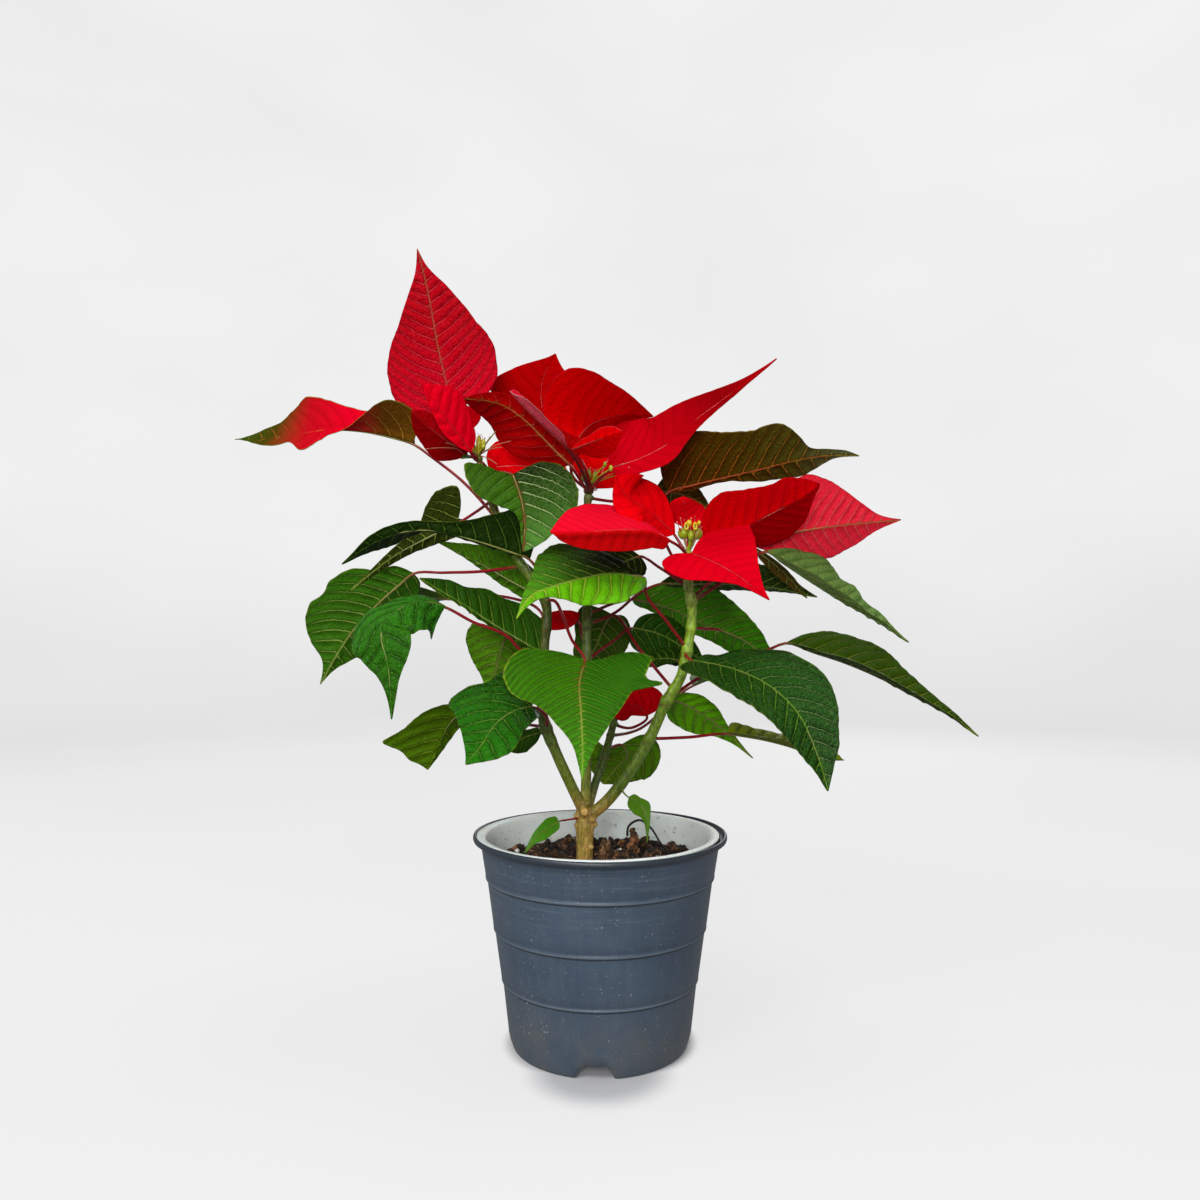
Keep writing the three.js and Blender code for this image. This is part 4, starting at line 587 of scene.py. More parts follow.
          [(5, 3), (18, 3), (33, 5), (52, 3), (78, 1)], [(10, 6), (42, 6), (52, 3), (78, 1)]),
    plain("leaf_back_left", 29, [(-33, -3, 243), (-42, 26, 257), (-70, 46, 264)],
          [(-98, 62, 263), (-140, 84, 262), (-192, 104, 236)], [(-0.2, 0.3, 0.9)]),
    plain("leaf_back_low", 33, [(-7, 6, 190), (-6, 30, 188)],
          [(-6, 60, 194), (-10, 106, 190), (-14, 158, 162)], [(0, 0.3, 0.9)]),
    plain("leaf_back_right", 28, [(6, 22, 176), (24, 46, 177)],
          [(64, 86, 204), (106, 114, 212), (154, 138, 192)], [(0.1, 0.2, 0.95)]),
    plain("leaf_back_centre", 26, [(-6, 12, 292), (-3, 40, 300)],
          [(0, 66, 304), (6, 106, 306), (12, 150, 284)], [(0, 0.1, 1)]),
    plain("leaf_back_upper_left", 22, [(-56, -4, 300), (-56, 18, 302)],
          [(-58, 42, 304), (-80, 66, 312), (-106, 98, 306)], [(-0.1, 0.1, 1)]),
]
LOW_BRACTS = [
    lobed("low_bract_right", [(9, 28, 181), (21, 33, 180)],
          [(30, 38, 187), (25, 43, 192), (17, 47, 193), (6, 53, 187)], [(0, -0.8, 0.5)], [5], [5],
          [(6, 4), (24, 9), (50, 12), (85, 8)], [(5, 13), (20, 17), (45, 15), (75, 9)]),
    lobed("low_bract_left", [(-8, 12, 229), (-11, 16, 238)],
          [(-14, 22, 247), (-22, 28, 247), (-31, 34, 247), (-43, 40, 244)], [(0, -0.7, 0.6)], [5], [5],
          [(5, 6), (30, 9), (65, 8)], [(5, 6), (25, 9), (55, 9), (80, 6)]),
]
BLOOMS = {
    "left": {
        "hub": (-72, -9, 343),
        "bracts": [
            lobed(None, [(-74, -8, 343), (-81, -2, 356)],
                  [(-91, 4, 378), (-94, 6, 392), (-100, 8, 417), (-104, 10, 438), (-109, 12, 461),
                   (-114, 14, 479)], [(0.1, -0.9, 0.2)], [8], [8],
                  [(-4, 14), (1, 29), (22, 34), (34, 31), (47, 24), (66, 15), (88, 4)],
                  [(0, 18), (11, 31), (20, 33), (33, 33), (51, 25), (72, 13), (88, 3)]),
            lobed(None, [(-73, -11, 343), (-74, -16, 343)],
                  [(-75, -20, 345), (-84, -30, 357), (-92, -38, 368), (-100, -44, 379)], [(0.2, -0.8, 0.5)],
                  [8], [8], [(15, 6), (47, 10), (67, 7), (84, 3)],
                  [(6, 8), (33, 15), (56, 18), (77, 14), (90, 6)]),
            lobed(None, [(-73, -12, 342), (-75, -14, 343)],
                  [(-78, -15, 344), (-87, -22, 350), (-98, -28, 358), (-107, -34, 366)], [(-0.1, 0.6, 0.8)],
                  [20], [10], [(20, 6), (45, 7), (70, 7), (88, 5)], [(4, 8), (23, 18), (61, 14), (84, 8)]),
            lobed(None, [(-72, -8, 342), (-70, -4, 341)],
                  [(-67, 0, 339), (-53, 8, 342), (-37, 15, 342), (-20, 21, 340)], [(0, -0.75, 0.65)], [5],
                  [5], [(10, 14), (30, 24), (55, 26), (80, 20), (94, 9)],
                  [(5, 10), (25, 16), (50, 16), (80, 12), (94, 6)]),
            plain(None, 24, [(-72, -8, 343), (-81, 10, 352)],
                  [(-90, 24, 361), (-101, 44, 375), (-108, 62, 388), (-114, 82, 398)], [(-0.2, -0.3, 0.9)]),
        ],
        "cups": [(-72, -9, 351, 2.4), (-76, -8, 350, 1.8), (-69, -11, 350, 1.9), (-71, -6, 350, 1.8)],
    },
    "centre": {
        "hub": (-7, 10, 327),
        "bracts": [
            lobed(None, [(-8, 12, 327), (-16, 20, 341)],
                  [(-26, 30, 359), (-36, 36, 380), (-38, 40, 400), (-29, 44, 422)], [(0.1, -0.85, 0.4)], [6],
                  [6], [(5, 10), (14, 18), (43, 29), (60, 32), (72, 21), (84, 10), (94, 3)],
                  [(6, 17), (30, 34), (55, 34), (78, 26), (90, 9)]),
            lobed(None, [(-8, 10, 328), (-17, 7, 336)],
                  [(-16, 6, 351), (-10, 12, 365), (9, 22, 376), (34, 32, 378)], [(0.1, 0.6, 0.7)], [6], [6],
                  [(10, 8), (30, 16), (48, 18), (71, 12), (88, 4)],
                  [(9, 20), (19, 34), (28, 41), (38, 36), (50, 27), (69, 16), (86, 7)]),
            lobed(None, [(-7, 7, 326), (-9, -4, 332), (-14, -14, 341)],
                  [(-20, -22, 349), (-31, -32, 357), (-42, -40, 366), (-50, -46, 374)],
                  [(0.2, -0.45, 0.75), (0.45, -0.4, 0.75)], [60], [10], [(8, 3), (40, 5), (80, 5)],
                  [(8, 5), (35, 10), (70, 11), (92, 8)]),
            lobed(None, [(-6, 7, 327), (-7, -3, 333), (-11, -11, 341)],
                  [(-16, -18, 347), (-8, -24, 349), (2, -31, 351), (13, -38, 353)], [(0.1, 0.7, 0.65)], [12],
                  [8], [(8, 7), (28, 14), (60, 13), (78, 8), (92, 3)],
                  [(15, 2.5), (42, 4), (65, 6), (86, 5)]),
            lobed(None, [(-8, 8, 326), (-12, 0, 332)],
                  [(-18, -7, 340), (-30, -12, 351), (-41, -16, 362), (-57, -19, 373), (-80, -22, 376)],
                  [(-0.3, 0.5, 0.8)], [10], [10], [(3, 16), (23, 12), (44, 8), (60, 8), (78, 6)],
                  [(4, 8), (13, 15), (36, 24), (62, 26), (86, 15), (95, 7)]),
            lobed(None, [(-5, 8, 327), (-1, 2, 332)],
                  [(7, -2, 339), (24, -6, 344), (37, -9, 350), (53, -12, 363), (76, -14, 380),
                   (104, -16, 401)], [(-0.1, -0.65, 0.7)], [5], [5],
                  [(-2, 23), (4, 42), (20, 37), (35, 26), (50, 20), (64, 13), (81, 4)],
                  [(4, 12), (16, 19), (26, 20), (38, 12), (52, 7), (70, 4), (86, 2)]),
            lobed(None, [(-6, 12, 328), (-4, 19, 329)],
                  [(-2, 26, 331), (4, 42, 350), (13, 66, 366), (22, 96, 376)],
                  [(0.1, -0.8, 0.6), (0.1, -0.3, 0.9)], [8], [8],
                  [(3, 12), (14, 22), (34, 25), (55, 20), (78, 9)],
                  [(3, 12), (14, 22), (34, 25), (55, 20), (78, 9)]),
            plain(None, 20, [(-7, 12, 328), (-12, 30, 342)],
                  [(-20, 50, 352), (-36, 80, 362), (-54, 112, 352)], [(0, 0, 1)]),
        ],
        "cups": [(-7, 10, 335, 2.4), (-10, 8, 334, 1.8), (-3, 8, 334, 2.1), (-8, 13, 334, 1.9)],
    },
    "right": {
        "hub": (52, -13, 285),
        "bracts": [
            lobed(None, [(52, -15, 284), (52, -24, 285)],
                  [(52, -30, 285), (63, -44, 279), (75, -58, 270), (89, -70, 257)], [(0.1, -0.75, 0.6)], [5],
                  [8], [(-11, 12), (-16, 34), (-5, 44), (20, 36), (47, 23), (75, 9), (90, 3)],
                  [(-10, 7), (-5, 18), (21, 28), (43, 28), (57, 17), (73, 7), (86, 3)]),
            lobed(None, [(51, -15, 285), (46, -24, 289)],
                  [(39, -32, 293), (31, -40, 296), (15, -52, 296), (-4, -63, 294), (-26, -75, 292)],
                  [(0, -0.45, 0.9)], [-62], [10], [(2, 6), (20, 10), (41, 12), (64, 11), (83, 8), (94, 4)],
                  [(2, 12), (10, 26), (24, 31), (40, 32), (55, 31), (70, 26), (90, 10)]),
            lobed(None, [(51, -13, 286), (48, -12, 291)],
                  [(44, -12, 298), (36, -15, 305), (27, -19, 312), (16, -24, 318), (9, -28, 330)],
                  [(-0.1, -0.7, 0.65)], [5], [10], [(17, 14), (40, 22), (59, 24), (71, 18), (84, 8)],
                  [(8, 6), (20, 12), (35, 18), (48, 21), (70, 19), (88, 14), (97, 7)]),
            lobed(None, [(52, -10, 286), (53, -2, 294)],
                  [(53, 2, 303), (53, 8, 311), (52, 14, 318), (52, 22, 325)], [(0, -0.85, 0.4)], [5], [5],
                  [(19, 10), (50, 11), (75, 8)], [(14, 9), (45, 12), (75, 8)]),
            lobed(None, [(54, -13, 286), (57, -12, 288)],
                  [(62, -10, 293), (75, -14, 298), (86, -18, 302), (101, -22, 310), (117, -26, 318),
                   (126, -28, 325)], [(0.1, 0.55, 0.8)], [15], [10],
                  [(5, 12), (19, 22), (42, 32), (62, 35), (76, 27), (88, 11)],
                  [(6, 15), (14, 23), (29, 28), (46, 24), (64, 18), (80, 17), (92, 10)]),
            lobed(None, [(54, -11, 285), (69, 0, 288)],
                  [(91, 8, 296), (107, 10, 299), (121, 12, 302), (147, 14, 306), (187, 18, 310)],
                  [(0.1, 0.85, 0.5)], [5], [5], [(4, 5), (19, 12), (32, 18), (51, 23), (69, 17), (86, 6)],
                  [(5, 8), (14, 18), (28, 30), (38, 35), (50, 31), (59, 25), (72, 14), (86, 4)]),
            plain(None, 20, [(53, -10, 286), (61, 12, 292)],
                  [(66, 26, 298), (72, 46, 307), (77, 66, 314), (81, 86, 321)], [(0.1, -0.2, 1)]),
        ],
        "cups": [(49, -14, 299, 2.6), (57, -13, 299, 2.6), (53, -11, 297, 2.4), (53, -17, 296, 2.2)],
    },
}


# ------------------------------------------------------------------ blades in full detail

def half_blade(blade, side, midrib, edge, start, q, look, t):
    """Surface points of one half with their normals, reach from the midrib in mm, and place along it."""
    s_out, w_out = edge
    wave = 1 + look["jag"] * 0.03 * ripple(t * 60, 0 * t, look["seed"] + 3 * side, 0.9) * smooth(0.0, 0.1, t)
    s = start[:, None] + (s_out - start)[:, None] * q
    w = (w_out * wave)[:, None] * q
    place, run = midrib(s)
    ahead = unit(run)
    across = unit(np.cross(ahead, along(blade["top"], s)))
    up = np.cross(across, ahead)
    fold = (np.radians(along(blade["folds"][side], s)) * np.minimum(w / FOLD_EASE, 1))[..., None]
    points = place + (across * side * np.cos(fold) + up * np.sin(fold)) * w[..., None]
    return points, up * np.cos(fold) - across * side * np.sin(fold), side * w, s


def blade_part(blade, look):
    """The blade as a thin closed skin with side veins, a rib, quilting and an uneven margin."""
    midrib = curve(blade["midrib"])
    length = math.dist(blade["midrib"][0], blade["midrib"][-1])
    spacing = length / look.get("veins", float(np.clip(length / VEIN_SPACING, *VEIN_COUNTS)))
    rows = int(np.clip(length * ROWS_PER_MM, *ROW_COUNTS))
    t = np.linspace(0, 1, rows + 1)
    edges = {}
    for side, table in blade["margins"].items():
        points = [(percent / 100 * length, reach) for percent, reach in table]
        edge = curve([(0, BASE_REACH)] + points + [(length, TIP_REACH)])(t)[0]
        edges[side] = (edge[:, 0] / length, np.maximum(edge[:, 1], TIP_REACH))
    start = ROW_EASE * t + (1 - ROW_EASE) * sum(np.clip(s_out, 0, 1) for s_out, w_out in edges.values()) / 2
    widest = max(w_out.max() for s_out, w_out in edges.values())
    columns = int(np.clip(widest / COLUMN_WIDTH, *COLUMN_COUNTS))
    q = np.append(RIM_SHARE * np.linspace(0, 1, columns + 1) ** 1.2, 1.0)
    left, right = (half_blade(blade, side, midrib, edges[side], start, q, look, t) for side in (-1, 1))
    points, normal, w, s = (np.concatenate([a[:, :0:-1], b], axis=1) for a, b in zip(left, right))
    out = np.concatenate([-q[:0:-1], q])[None, :] * np.ones((rows + 1, 1))
    reach, far = np.abs(w), np.abs(out)

    foot = s * length - (VEIN_SLANT + VEIN_CURL * (reach / widest) ** 2) * reach
    foot = foot + np.where(w < 0, VEIN_STAGGER * spacing, 0.0) * smooth(0.0, 1.5, reach)
    between = np.abs(np.sin(np.pi * foot / spacing))
    open_out = smooth(0.0, 0.25, far) * (1 - 0.75 * smooth(0.65, 1.0, far))
    size = np.minimum(reach.max(axis=1) / 14.0, 1.0)[:, None] * min(spacing / VEIN_SPACING, 1.0)
    quilt = look["quilt"] * size * open_out * (between - 0.55)
    crinkle = 0.4 * look["quilt"] * size * ripple(w * 0.5, s * length * 0.5, look["seed"], 0.9) * open_out
    swing = ripple(s * length * 0.16, np.sign(out) * 5, look["seed"] + 9)
    edge_wave = look["wave"] * size * far ** 2.5 * swing
    groove = -0.35 * np.exp(-(reach / 1.3) ** 2)
    fade = smooth(0.0, 0.05, t)[:, None] * smooth(1.0, 0.93, t)[:, None]
    body = points + normal * ((quilt + crinkle + edge_wave + groove) * fade)[..., None]
    thick = (TISSUE_HALF + RIB_HALF * np.exp(-(reach / 4) ** 2))[..., None]

    n_rows, n_cols = out.shape
    below = n_rows * n_cols
    top_faces = grid_faces(n_rows, n_cols)
    low_faces = [(a + below, d + below, c + below, b + below) for a, b, c, d in top_faces]
    ring = list(range(n_cols))
    ring += [i * n_cols + n_cols - 1 for i in range(1, n_rows)]
    ring += [(n_rows - 1) * n_cols + j for j in range(n_cols - 2, -1, -1)]
    ring += [i * n_cols for i in range(n_rows - 2, 0, -1)]
    rim = [(a, a + below, b + below, b) for a, b in zip(ring, ring[1:] + ring[:1])]
    level = np.clip(s, 0, 1)

    def paint(key):
        """Colours from base to tip, with their own left half, rib and margin where the look has them."""
        colours = along(np.atleast_2d(look[key]), level)
        for part, share in (("_left", smooth(-1.5, 1.5, -w)), ("_edge", smooth(RIM_SHARE, 1.0, far)),
                            ("_rib", smooth(2.4, 1.0, reach))):
            if key + part in look:
                colours = blend(colours, along(np.atleast_2d(look[key + part]), level), share[..., None])
        return colours.reshape(-1, 3)

    vein = np.concatenate([paint("vein"), paint("undervein")])
    marks = np.stack([foot, reach, far], axis=-1).reshape(-1, 3)
    flat = np.stack([w, s * length, np.full_like(w, look["seed"] * 13.7)], axis=-1).reshape(-1, 3)
    return {"verts": np.concatenate([(body + side * normal * thick).reshape(-1, 3) for side in (1, -1)]),
            "faces": top_faces + low_faces + rim, "tint": np.concatenate([paint("face"), paint("under")]),
            "veintint": np.concatenate([vein, np.full((len(vein), 1), spacing / 10)], axis=1),
            "marks": np.concatenate([marks, marks]), "flat": np.concatenate([flat, flat])}


def stalk_part(blade, look, seat=None):
    """The petiole from its seat to the blade, running on as the rib under the blade."""
    petiole = list(blade["petiole"])
    if seat is not None:
        petiole[0] = seat
    stations = np.array([0.0, 0.12, 0.3, 0.5, 0.7, 0.88])
    place, run = curve(blade["midrib"])(stations)
    ahead = unit(run)
    across = unit(np.cross(ahead, along(blade["top"], stations)))
    radius = look.get("stalk_radius", 1.0)
    radii_rib = radius * np.array([0.85, 0.7, 0.55, 0.4, 0.28, 0.14])
    rib = place - np.cross(across, ahead) * (radii_rib * 0.75 + 0.1)[:, None]
    points = petiole + rib.tolist()
    lengths = arc_lengths(points)
    joint = lengths[len(petiole)] / lengths[-1]
    fine = np.linspace(0, 1, 41)
    radii = np.where(fine < joint, lerp(radius * 1.05, radius * 0.85, fine / joint),
                     np.interp((fine - joint) / (1 - joint), stations / stations[-1], radii_rib))
    radii[0] *= 1.35
    colour = blend(np.asarray(look["stalk"]), look["rib"], smooth(joint - 0.05, joint + 0.08, fine)[:, None])
    tint = blend(colour, look["foot"], smooth(0.07, 0.0, fine)[:, None] * 0.6)
    return {**tube(points, radii, 7, 44, tint, 0.05, look["seed"]), "material": 1}


# ------------------------------------------------------------------ colours of leaves and bracts

DARK_GREEN = (0.018, 0.065, 0.004)
DEEP_GREEN = (0.008, 0.020, 0.003)
UNDER_GREEN = (0.065, 0.150, 0.008)
DARK_OLIVE = (0.036, 0.055, 0.004)
PALE_VEIN = (0.26, 0.36, 0.05)
DULL_VEIN = (0.10, 0.20, 0.015)
RED = (0.66, 0.0008, 0.006)
CRIMSON = (0.46, 0.0006, 0.003)
PETIOLE_RED = (0.27, 0.004, 0.009)
PETIOLE_GREEN = (0.18, 0.26, 0.04)

# A colour, or colours from base to tip. _left, _edge and _rib are for the left half, the margin and the rib.
# quilt and wave are heights in mm; jag is how uneven the margin is; veins counts the side veins of a half.
LEAF_LOOK = dict(face=DARK_GREEN, under=UNDER_GREEN, vein=DULL_VEIN, undervein=PALE_VEIN, stalk=PETIOLE_RED,
                 rib=(0.24, 0.26, 0.06), foot=(0.14, 0.17, 0.03), face_edge=(0.12, 0.19, 0.012),
                 under_edge=(0.12, 0.15, 0.015), quilt=1.8, wave=1.1, jag=1.1)
# On bracts face_edge and under_edge are darker: painted shade along the margin.
BRACT_LOOK = dict(face=RED, under=CRIMSON, vein=(0.5, 0.0006, 0.004), undervein=(0.52, 0.02, 0.02),
                  stalk=PETIOLE_RED, rib=(0.42, 0.02, 0.02), foot=(0.26, 0.05, 0.02),
                  face_edge=(0.4, 0.0008, 0.006), under_edge=(0.4, 0.004, 0.008), quilt=0.5, wave=0.7,
                  jag=0.7)
LOOKS = {
    "leaf_far_left": dict(face=[(0.1, 0.05, 0.005), (0.6, 0.001, 0.014), (0.62, 0.001, 0.014),
                                (0.44, 0.004, 0.01), (0.045, 0.04, 0.003), DARK_GREEN],
                          under=[(0.11, 0.045, 0.003), (0.12, 0.042, 0.003), (0.6, 0.001, 0.018),
                                 (0.68, 0.001, 0.02), (0.54, 0.002, 0.012), (0.045, 0.042, 0.002),
                                 (0.028, 0.05, 0.002)],
                          undervein=[(0.34, 0.2, 0.03), (0.36, 0.16, 0.03), (0.6, 0.004, 0.02),
                                     (0.5, 0.004, 0.012), (0.14, 0.14, 0.01)],
                          vein=[(0.26, 0.16, 0.03), (0.5, 0.001, 0.008), (0.5, 0.001, 0.008), DULL_VEIN],
                          quilt=0.8, skin="bract"),
    "leaf_upper_left_back": dict(face=DARK_GREEN, under=DARK_OLIVE),
    "leaf_upper_left_front": dict(face=(0.01, 0.028, 0.0015), under=(0.01, 0.028, 0.0015),
                                  vein=(0.04, 0.1, 0.006), undervein=(0.05, 0.12, 0.01)),
    "leaf_left_veined": dict(under=(0.065, 0.2, 0.004), undervein=(0.16, 0.3, 0.02)),
    "leaf_left_mid": dict(under=[(0.03, 0.14, 0.002), (0.036, 0.15, 0.003)], undervein=(0.22, 0.32, 0.05),
                          rib=(0.34, 0.3, 0.08)),
    "leaf_left_bright": dict(face=[(0.022, 0.18, 0.002), (0.03, 0.15, 0.003)], vein=(0.05, 0.2, 0.01),
                             skin="glossy"),
    "leaf_left_inner": dict(face=(0.018, 0.078, 0.002)),
    "leaf_left_low_back": dict(under=(0.13, 0.36, 0.008)),
    "leaf_left_glossy": dict(face=[(0.008, 0.075, 0.001), (0.018, 0.21, 0.002)], vein=(0.1, 0.28, 0.02),
                             skin="glossy"),
    "leaf_left_small": dict(face=(0.03, 0.11, 0.005)),
    "leaf_left_lowest": dict(under=(0.075, 0.165, 0.001), undervein=(0.12, 0.2, 0.006)),
    "leaf_front": dict(face=[(0.046, 0.19, 0.002), (0.044, 0.185, 0.002), (0.066, 0.29, 0.008)], quilt=1.0,
                       face_left=[(0.026, 0.145, 0.001), (0.028, 0.15, 0.001), (0.062, 0.27, 0.006)],
                       vein=(0.065, 0.2, 0.008),
                       vein_rib=[(0.16, 0.05, 0.01), (0.18, 0.26, 0.02), (0.16, 0.36, 0.03)], veins=16,
                       face_edge=(0.26, 0.38, 0.02)),
    # The near-black base of face is painted shadow cast by the bract above.
    "leaf_centre_bright": dict(face=[(0.008, 0.014, 0.001), (0.008, 0.018, 0.001), (0.02, 0.07, 0.002),
                                     (0.045, 0.19, 0.003), (0.11, 0.41, 0.002)],
                               face_left=(0.115, 0.43, 0.002), vein=[(0.05, 0.1, 0.01), (0.22, 0.36, 0.03)],
                               vein_left=(0.32, 0.5, 0.03)),
    # face_left darkens this half towards the base: painted shade; its pale vein_left lines are partly painted
    # glints.
    "leaf_centre_top": dict(face=[(0.034, 0.105, 0.002), (0.045, 0.16, 0.006)], vein=(0.08, 0.2, 0.02),
                            face_left=[(0.008, 0.022, 0.001), (0.026, 0.085, 0.004), (0.08, 0.24, 0.03)],
                            vein_left=[(0.3, 0.4, 0.15), (0.26, 0.4, 0.12)],
                            vein_rib=[(0.16, 0.035, 0.012), (0.16, 0.07, 0.02)], quilt=2.2),
    "leaf_mid_dark": dict(face=DEEP_GREEN, under=(0.06, 0.15, 0.008), undervein=(0.26, 0.34, 0.06)),
    "leaf_right_pale": dict(under=(0.055, 0.29, 0.003)),
    # under is brighter than the leaf's own colour: painted light where the bloom shades it.
    "leaf_right_back": dict(under=(0.09, 0.38, 0.008), undervein=(0.34, 0.5, 0.08)),
    "leaf_right_upper_dark": dict(under=(0.024, 0.055, 0.004)),
    "leaf_right_thin": dict(face=(0.1, 0.075, 0.008), under=(0.12, 0.06, 0.008)),
    "leaf_right_dusty": dict(face=(0.13, 0.24, 0.045), under=(0.36, 0.54, 0.15), vein=(0.1, 0.18, 0.03),
                             skin="dusty"),
    "leaf_right_long": dict(face=[(0.036, 0.09, 0.0008), (0.026, 0.062, 0.0006), (0.018, 0.044, 0.0004)],
                            under=(0.034, 0.075, 0.002), vein=(0.13, 0.17, 0.008)),
    # face_left pales towards the tip and vein_left is paler: painted sheen and painted glints on this half.
    "leaf_right_glossy": dict(face=(0.009, 0.062, 0.001), vein=(0.1, 0.26, 0.015),
                              vein_rib=(0.16, 0.32, 0.03),
                              face_left=[(0.008, 0.05, 0.001), (0.012, 0.078, 0.003),
                                         (0.036, 0.115, 0.018)],
                              vein_left=[(0.08, 0.2, 0.02), (0.12, 0.24, 0.05), (0.2, 0.32, 0.12)],
                              skin="glossy"),
    "leaf_small_dark": dict(face=(0.01, 0.05, 0.002)),
    "leaf_right_inner": dict(face=(0.014, 0.065, 0.003), under=(0.016, 0.07, 0.003)),
    "leaf_right_low_pale": dict(under=(0.15, 0.5, 0.002)),
    "leaf_right_low_olive": dict(face=(0.23, 0.29, 0.002), under=(0.23, 0.29, 0.002)),
    "leaf_low_back": dict(under=[(0.11, 0.34, 0.005), (0.15, 0.28, 0.005)], undervein=(0.3, 0.4, 0.05)),
    "leaf_top_right": dict(under=[(0.08, 0.032, 0.001), (0.072, 0.05, 0.001), (0.07, 0.07, 0.006),
                                  (0.085, 0.1, 0.045)],
                           undervein=[(0.42, 0.1, 0.012), (0.36, 0.15, 0.012), (0.22, 0.2, 0.03)],
                           under_edge=(0.24, 0.15, 0.02), rib=(0.42, 0.09, 0.02), quilt=2.0),
    "leaf_top_back": dict(under=(0.06, 0.08, 0.004)),
    "leaf_behind_bract": dict(under=(0.03, 0.05, 0.004)),
    "sprout_left": dict(face=(0.065, 0.26, 0.008), under=(0.1, 0.26, 0.02), veins=5, quilt=0.2,
                        stalk_radius=0.6, stalk=PETIOLE_RED, skin="sprout"),
    "sprout_right": dict(face=(0.085, 0.23, 0.008), under=(0.1, 0.24, 0.02), veins=5, quilt=0.2,
                         stalk_radius=0.6, stalk=PETIOLE_GREEN, skin="sprout"),
}
BLOOM_LOOKS = {
    "left": [
        # The bright pink vein colour is partly real veins and partly painted highlights on the crinkles.
        dict(face=[(0.64, 0.0006, 0.014), (0.46, 0.0006, 0.006), (0.5, 0.0006, 0.009)],
             vein=(0.82, 0.03, 0.055), vein_rib=(0.46, 0.07, 0.04), veins=14, quilt=2.0, skin="crinkled"),
        dict(face=(0.86, 0.0008, 0.014), vein=(0.66, 0.0008, 0.01), quilt=0.9),
        dict(face=(0.3, 0.0005, 0.002), under=(0.38, 0.0006, 0.003), vein=(0.2, 0.0005, 0.001),
             undervein=(0.46, 0.006, 0.008)),
        dict(face=(0.56, 0.0006, 0.003), vein=(0.48, 0.0006, 0.003)),
        {},
    ],
    "centre": [
        dict(face=(0.36, 0.0005, 0.001), vein=(0.3, 0.0005, 0.001), quilt=0.25),
        dict(face=RED, under=[(0.7, 0.0006, 0.001), (0.62, 0.0006, 0.001)], undervein=(0.54, 0.0006, 0.002),
             quilt=0.2),
        dict(face=(0.7, 0.008, 0.03), under=(0.56, 0.05, 0.08), vein=(0.6, 0.006, 0.02),
             undervein=(0.6, 0.12, 0.14), face_edge=(0.46, 0.16, 0.18), under_edge=(0.42, 0.2, 0.22),
             stalk=(0.12, 0.004, 0.006), stalk_radius=1.1, jag=1.6),
        dict(face=(0.9, 0.0006, 0.003), under=(0.9, 0.0006, 0.002), under_edge=(0.66, 0.05, 0.06),
             undervein=(0.7, 0.001, 0.003)),
        dict(face=CRIMSON, under=(0.4, 0.0005, 0.001), undervein=(0.52, 0.02, 0.02),
             undervein_rib=(0.36, 0.12, 0.03), rib=(0.42, 0.14, 0.04), quilt=0.9),
        dict(face=[(0.48, 0.0006, 0.007), (0.42, 0.0006, 0.005), (0.2, 0.0005, 0.002),
                   (0.34, 0.0006, 0.003)], under=CRIMSON, vein=(0.38, 0.001, 0.004)),
        dict(face=(0.6, 0.0005, 0.001), under=(0.6, 0.0005, 0.001)),
        {},
    ],
    "right": [
        dict(face=(0.58, 0.0004, 0.008), vein=(0.57, 0.0004, 0.008), vein_rib=(0.42, 0.0004, 0.006),
             quilt=0.12),
        # face's pink tinge is painted highlight on the upper half; face_left and vein_left darken the
        # folded-down half: painted shade.
        dict(face=(0.7, 0.004, 0.02), face_left=(0.54, 0.002, 0.003), vein=(0.62, 0.003, 0.014),
             vein_left=(0.46, 0.002, 0.003), quilt=0.35),
        dict(face=(0.76, 0.0006, 0.004), vein=(0.64, 0.0005, 0.004), quilt=0.35),
        dict(face=(0.76, 0.0006, 0.006), vein=(0.64, 0.0005, 0.004)),
        dict(face=RED, under=(0.7, 0.0005, 0.003), undervein=(0.52, 0.001, 0.004)),
        dict(face=RED, under=(0.95, 0.02, 0.05), undervein=(0.92, 0.12, 0.12),
             undervein_rib=(0.44, 0.17, 0.06), rib=(0.44, 0.17, 0.06), veins=14, quilt=1.3),
        {},
    ],
}

SKINS = {
    "plain": blade_material("leaf_tissue", 0.36, 0.05, 0.75, 0.7, 0.7, 0.6),
    "glossy": blade_material("glossy_leaf_tissue", 0.20, 0.12, 0.65, 1.0, 1.2, 0.7, 0.26),
    "dusty": blade_material("dusty_leaf_tissue", 0.42, 0.10, 0.7, 0.7, 0.8, 0.4, 0.12, 0.6),
    "sprout": blade_material("sprout_tissue", 0.36, 0.10, 0.5, 0.3, 0.4, 0.15),
    "bract": blade_material("bract_tissue", 0.5, 0.0, 0.45, 0.5, 0.6, 0.13),
    "crinkled": blade_material("crinkled_bract_tissue", 0.26, 0.02, 0.6, 0.9, 1.0, 0.5, 0.12),
}
petiole_skin = stalk_material("petiole_skin", 0.26, 0.4, 0.3, 0.40)
stem_skin = stalk_material("stem_skin", 0.26, 0.6, 1.0, 0.50)

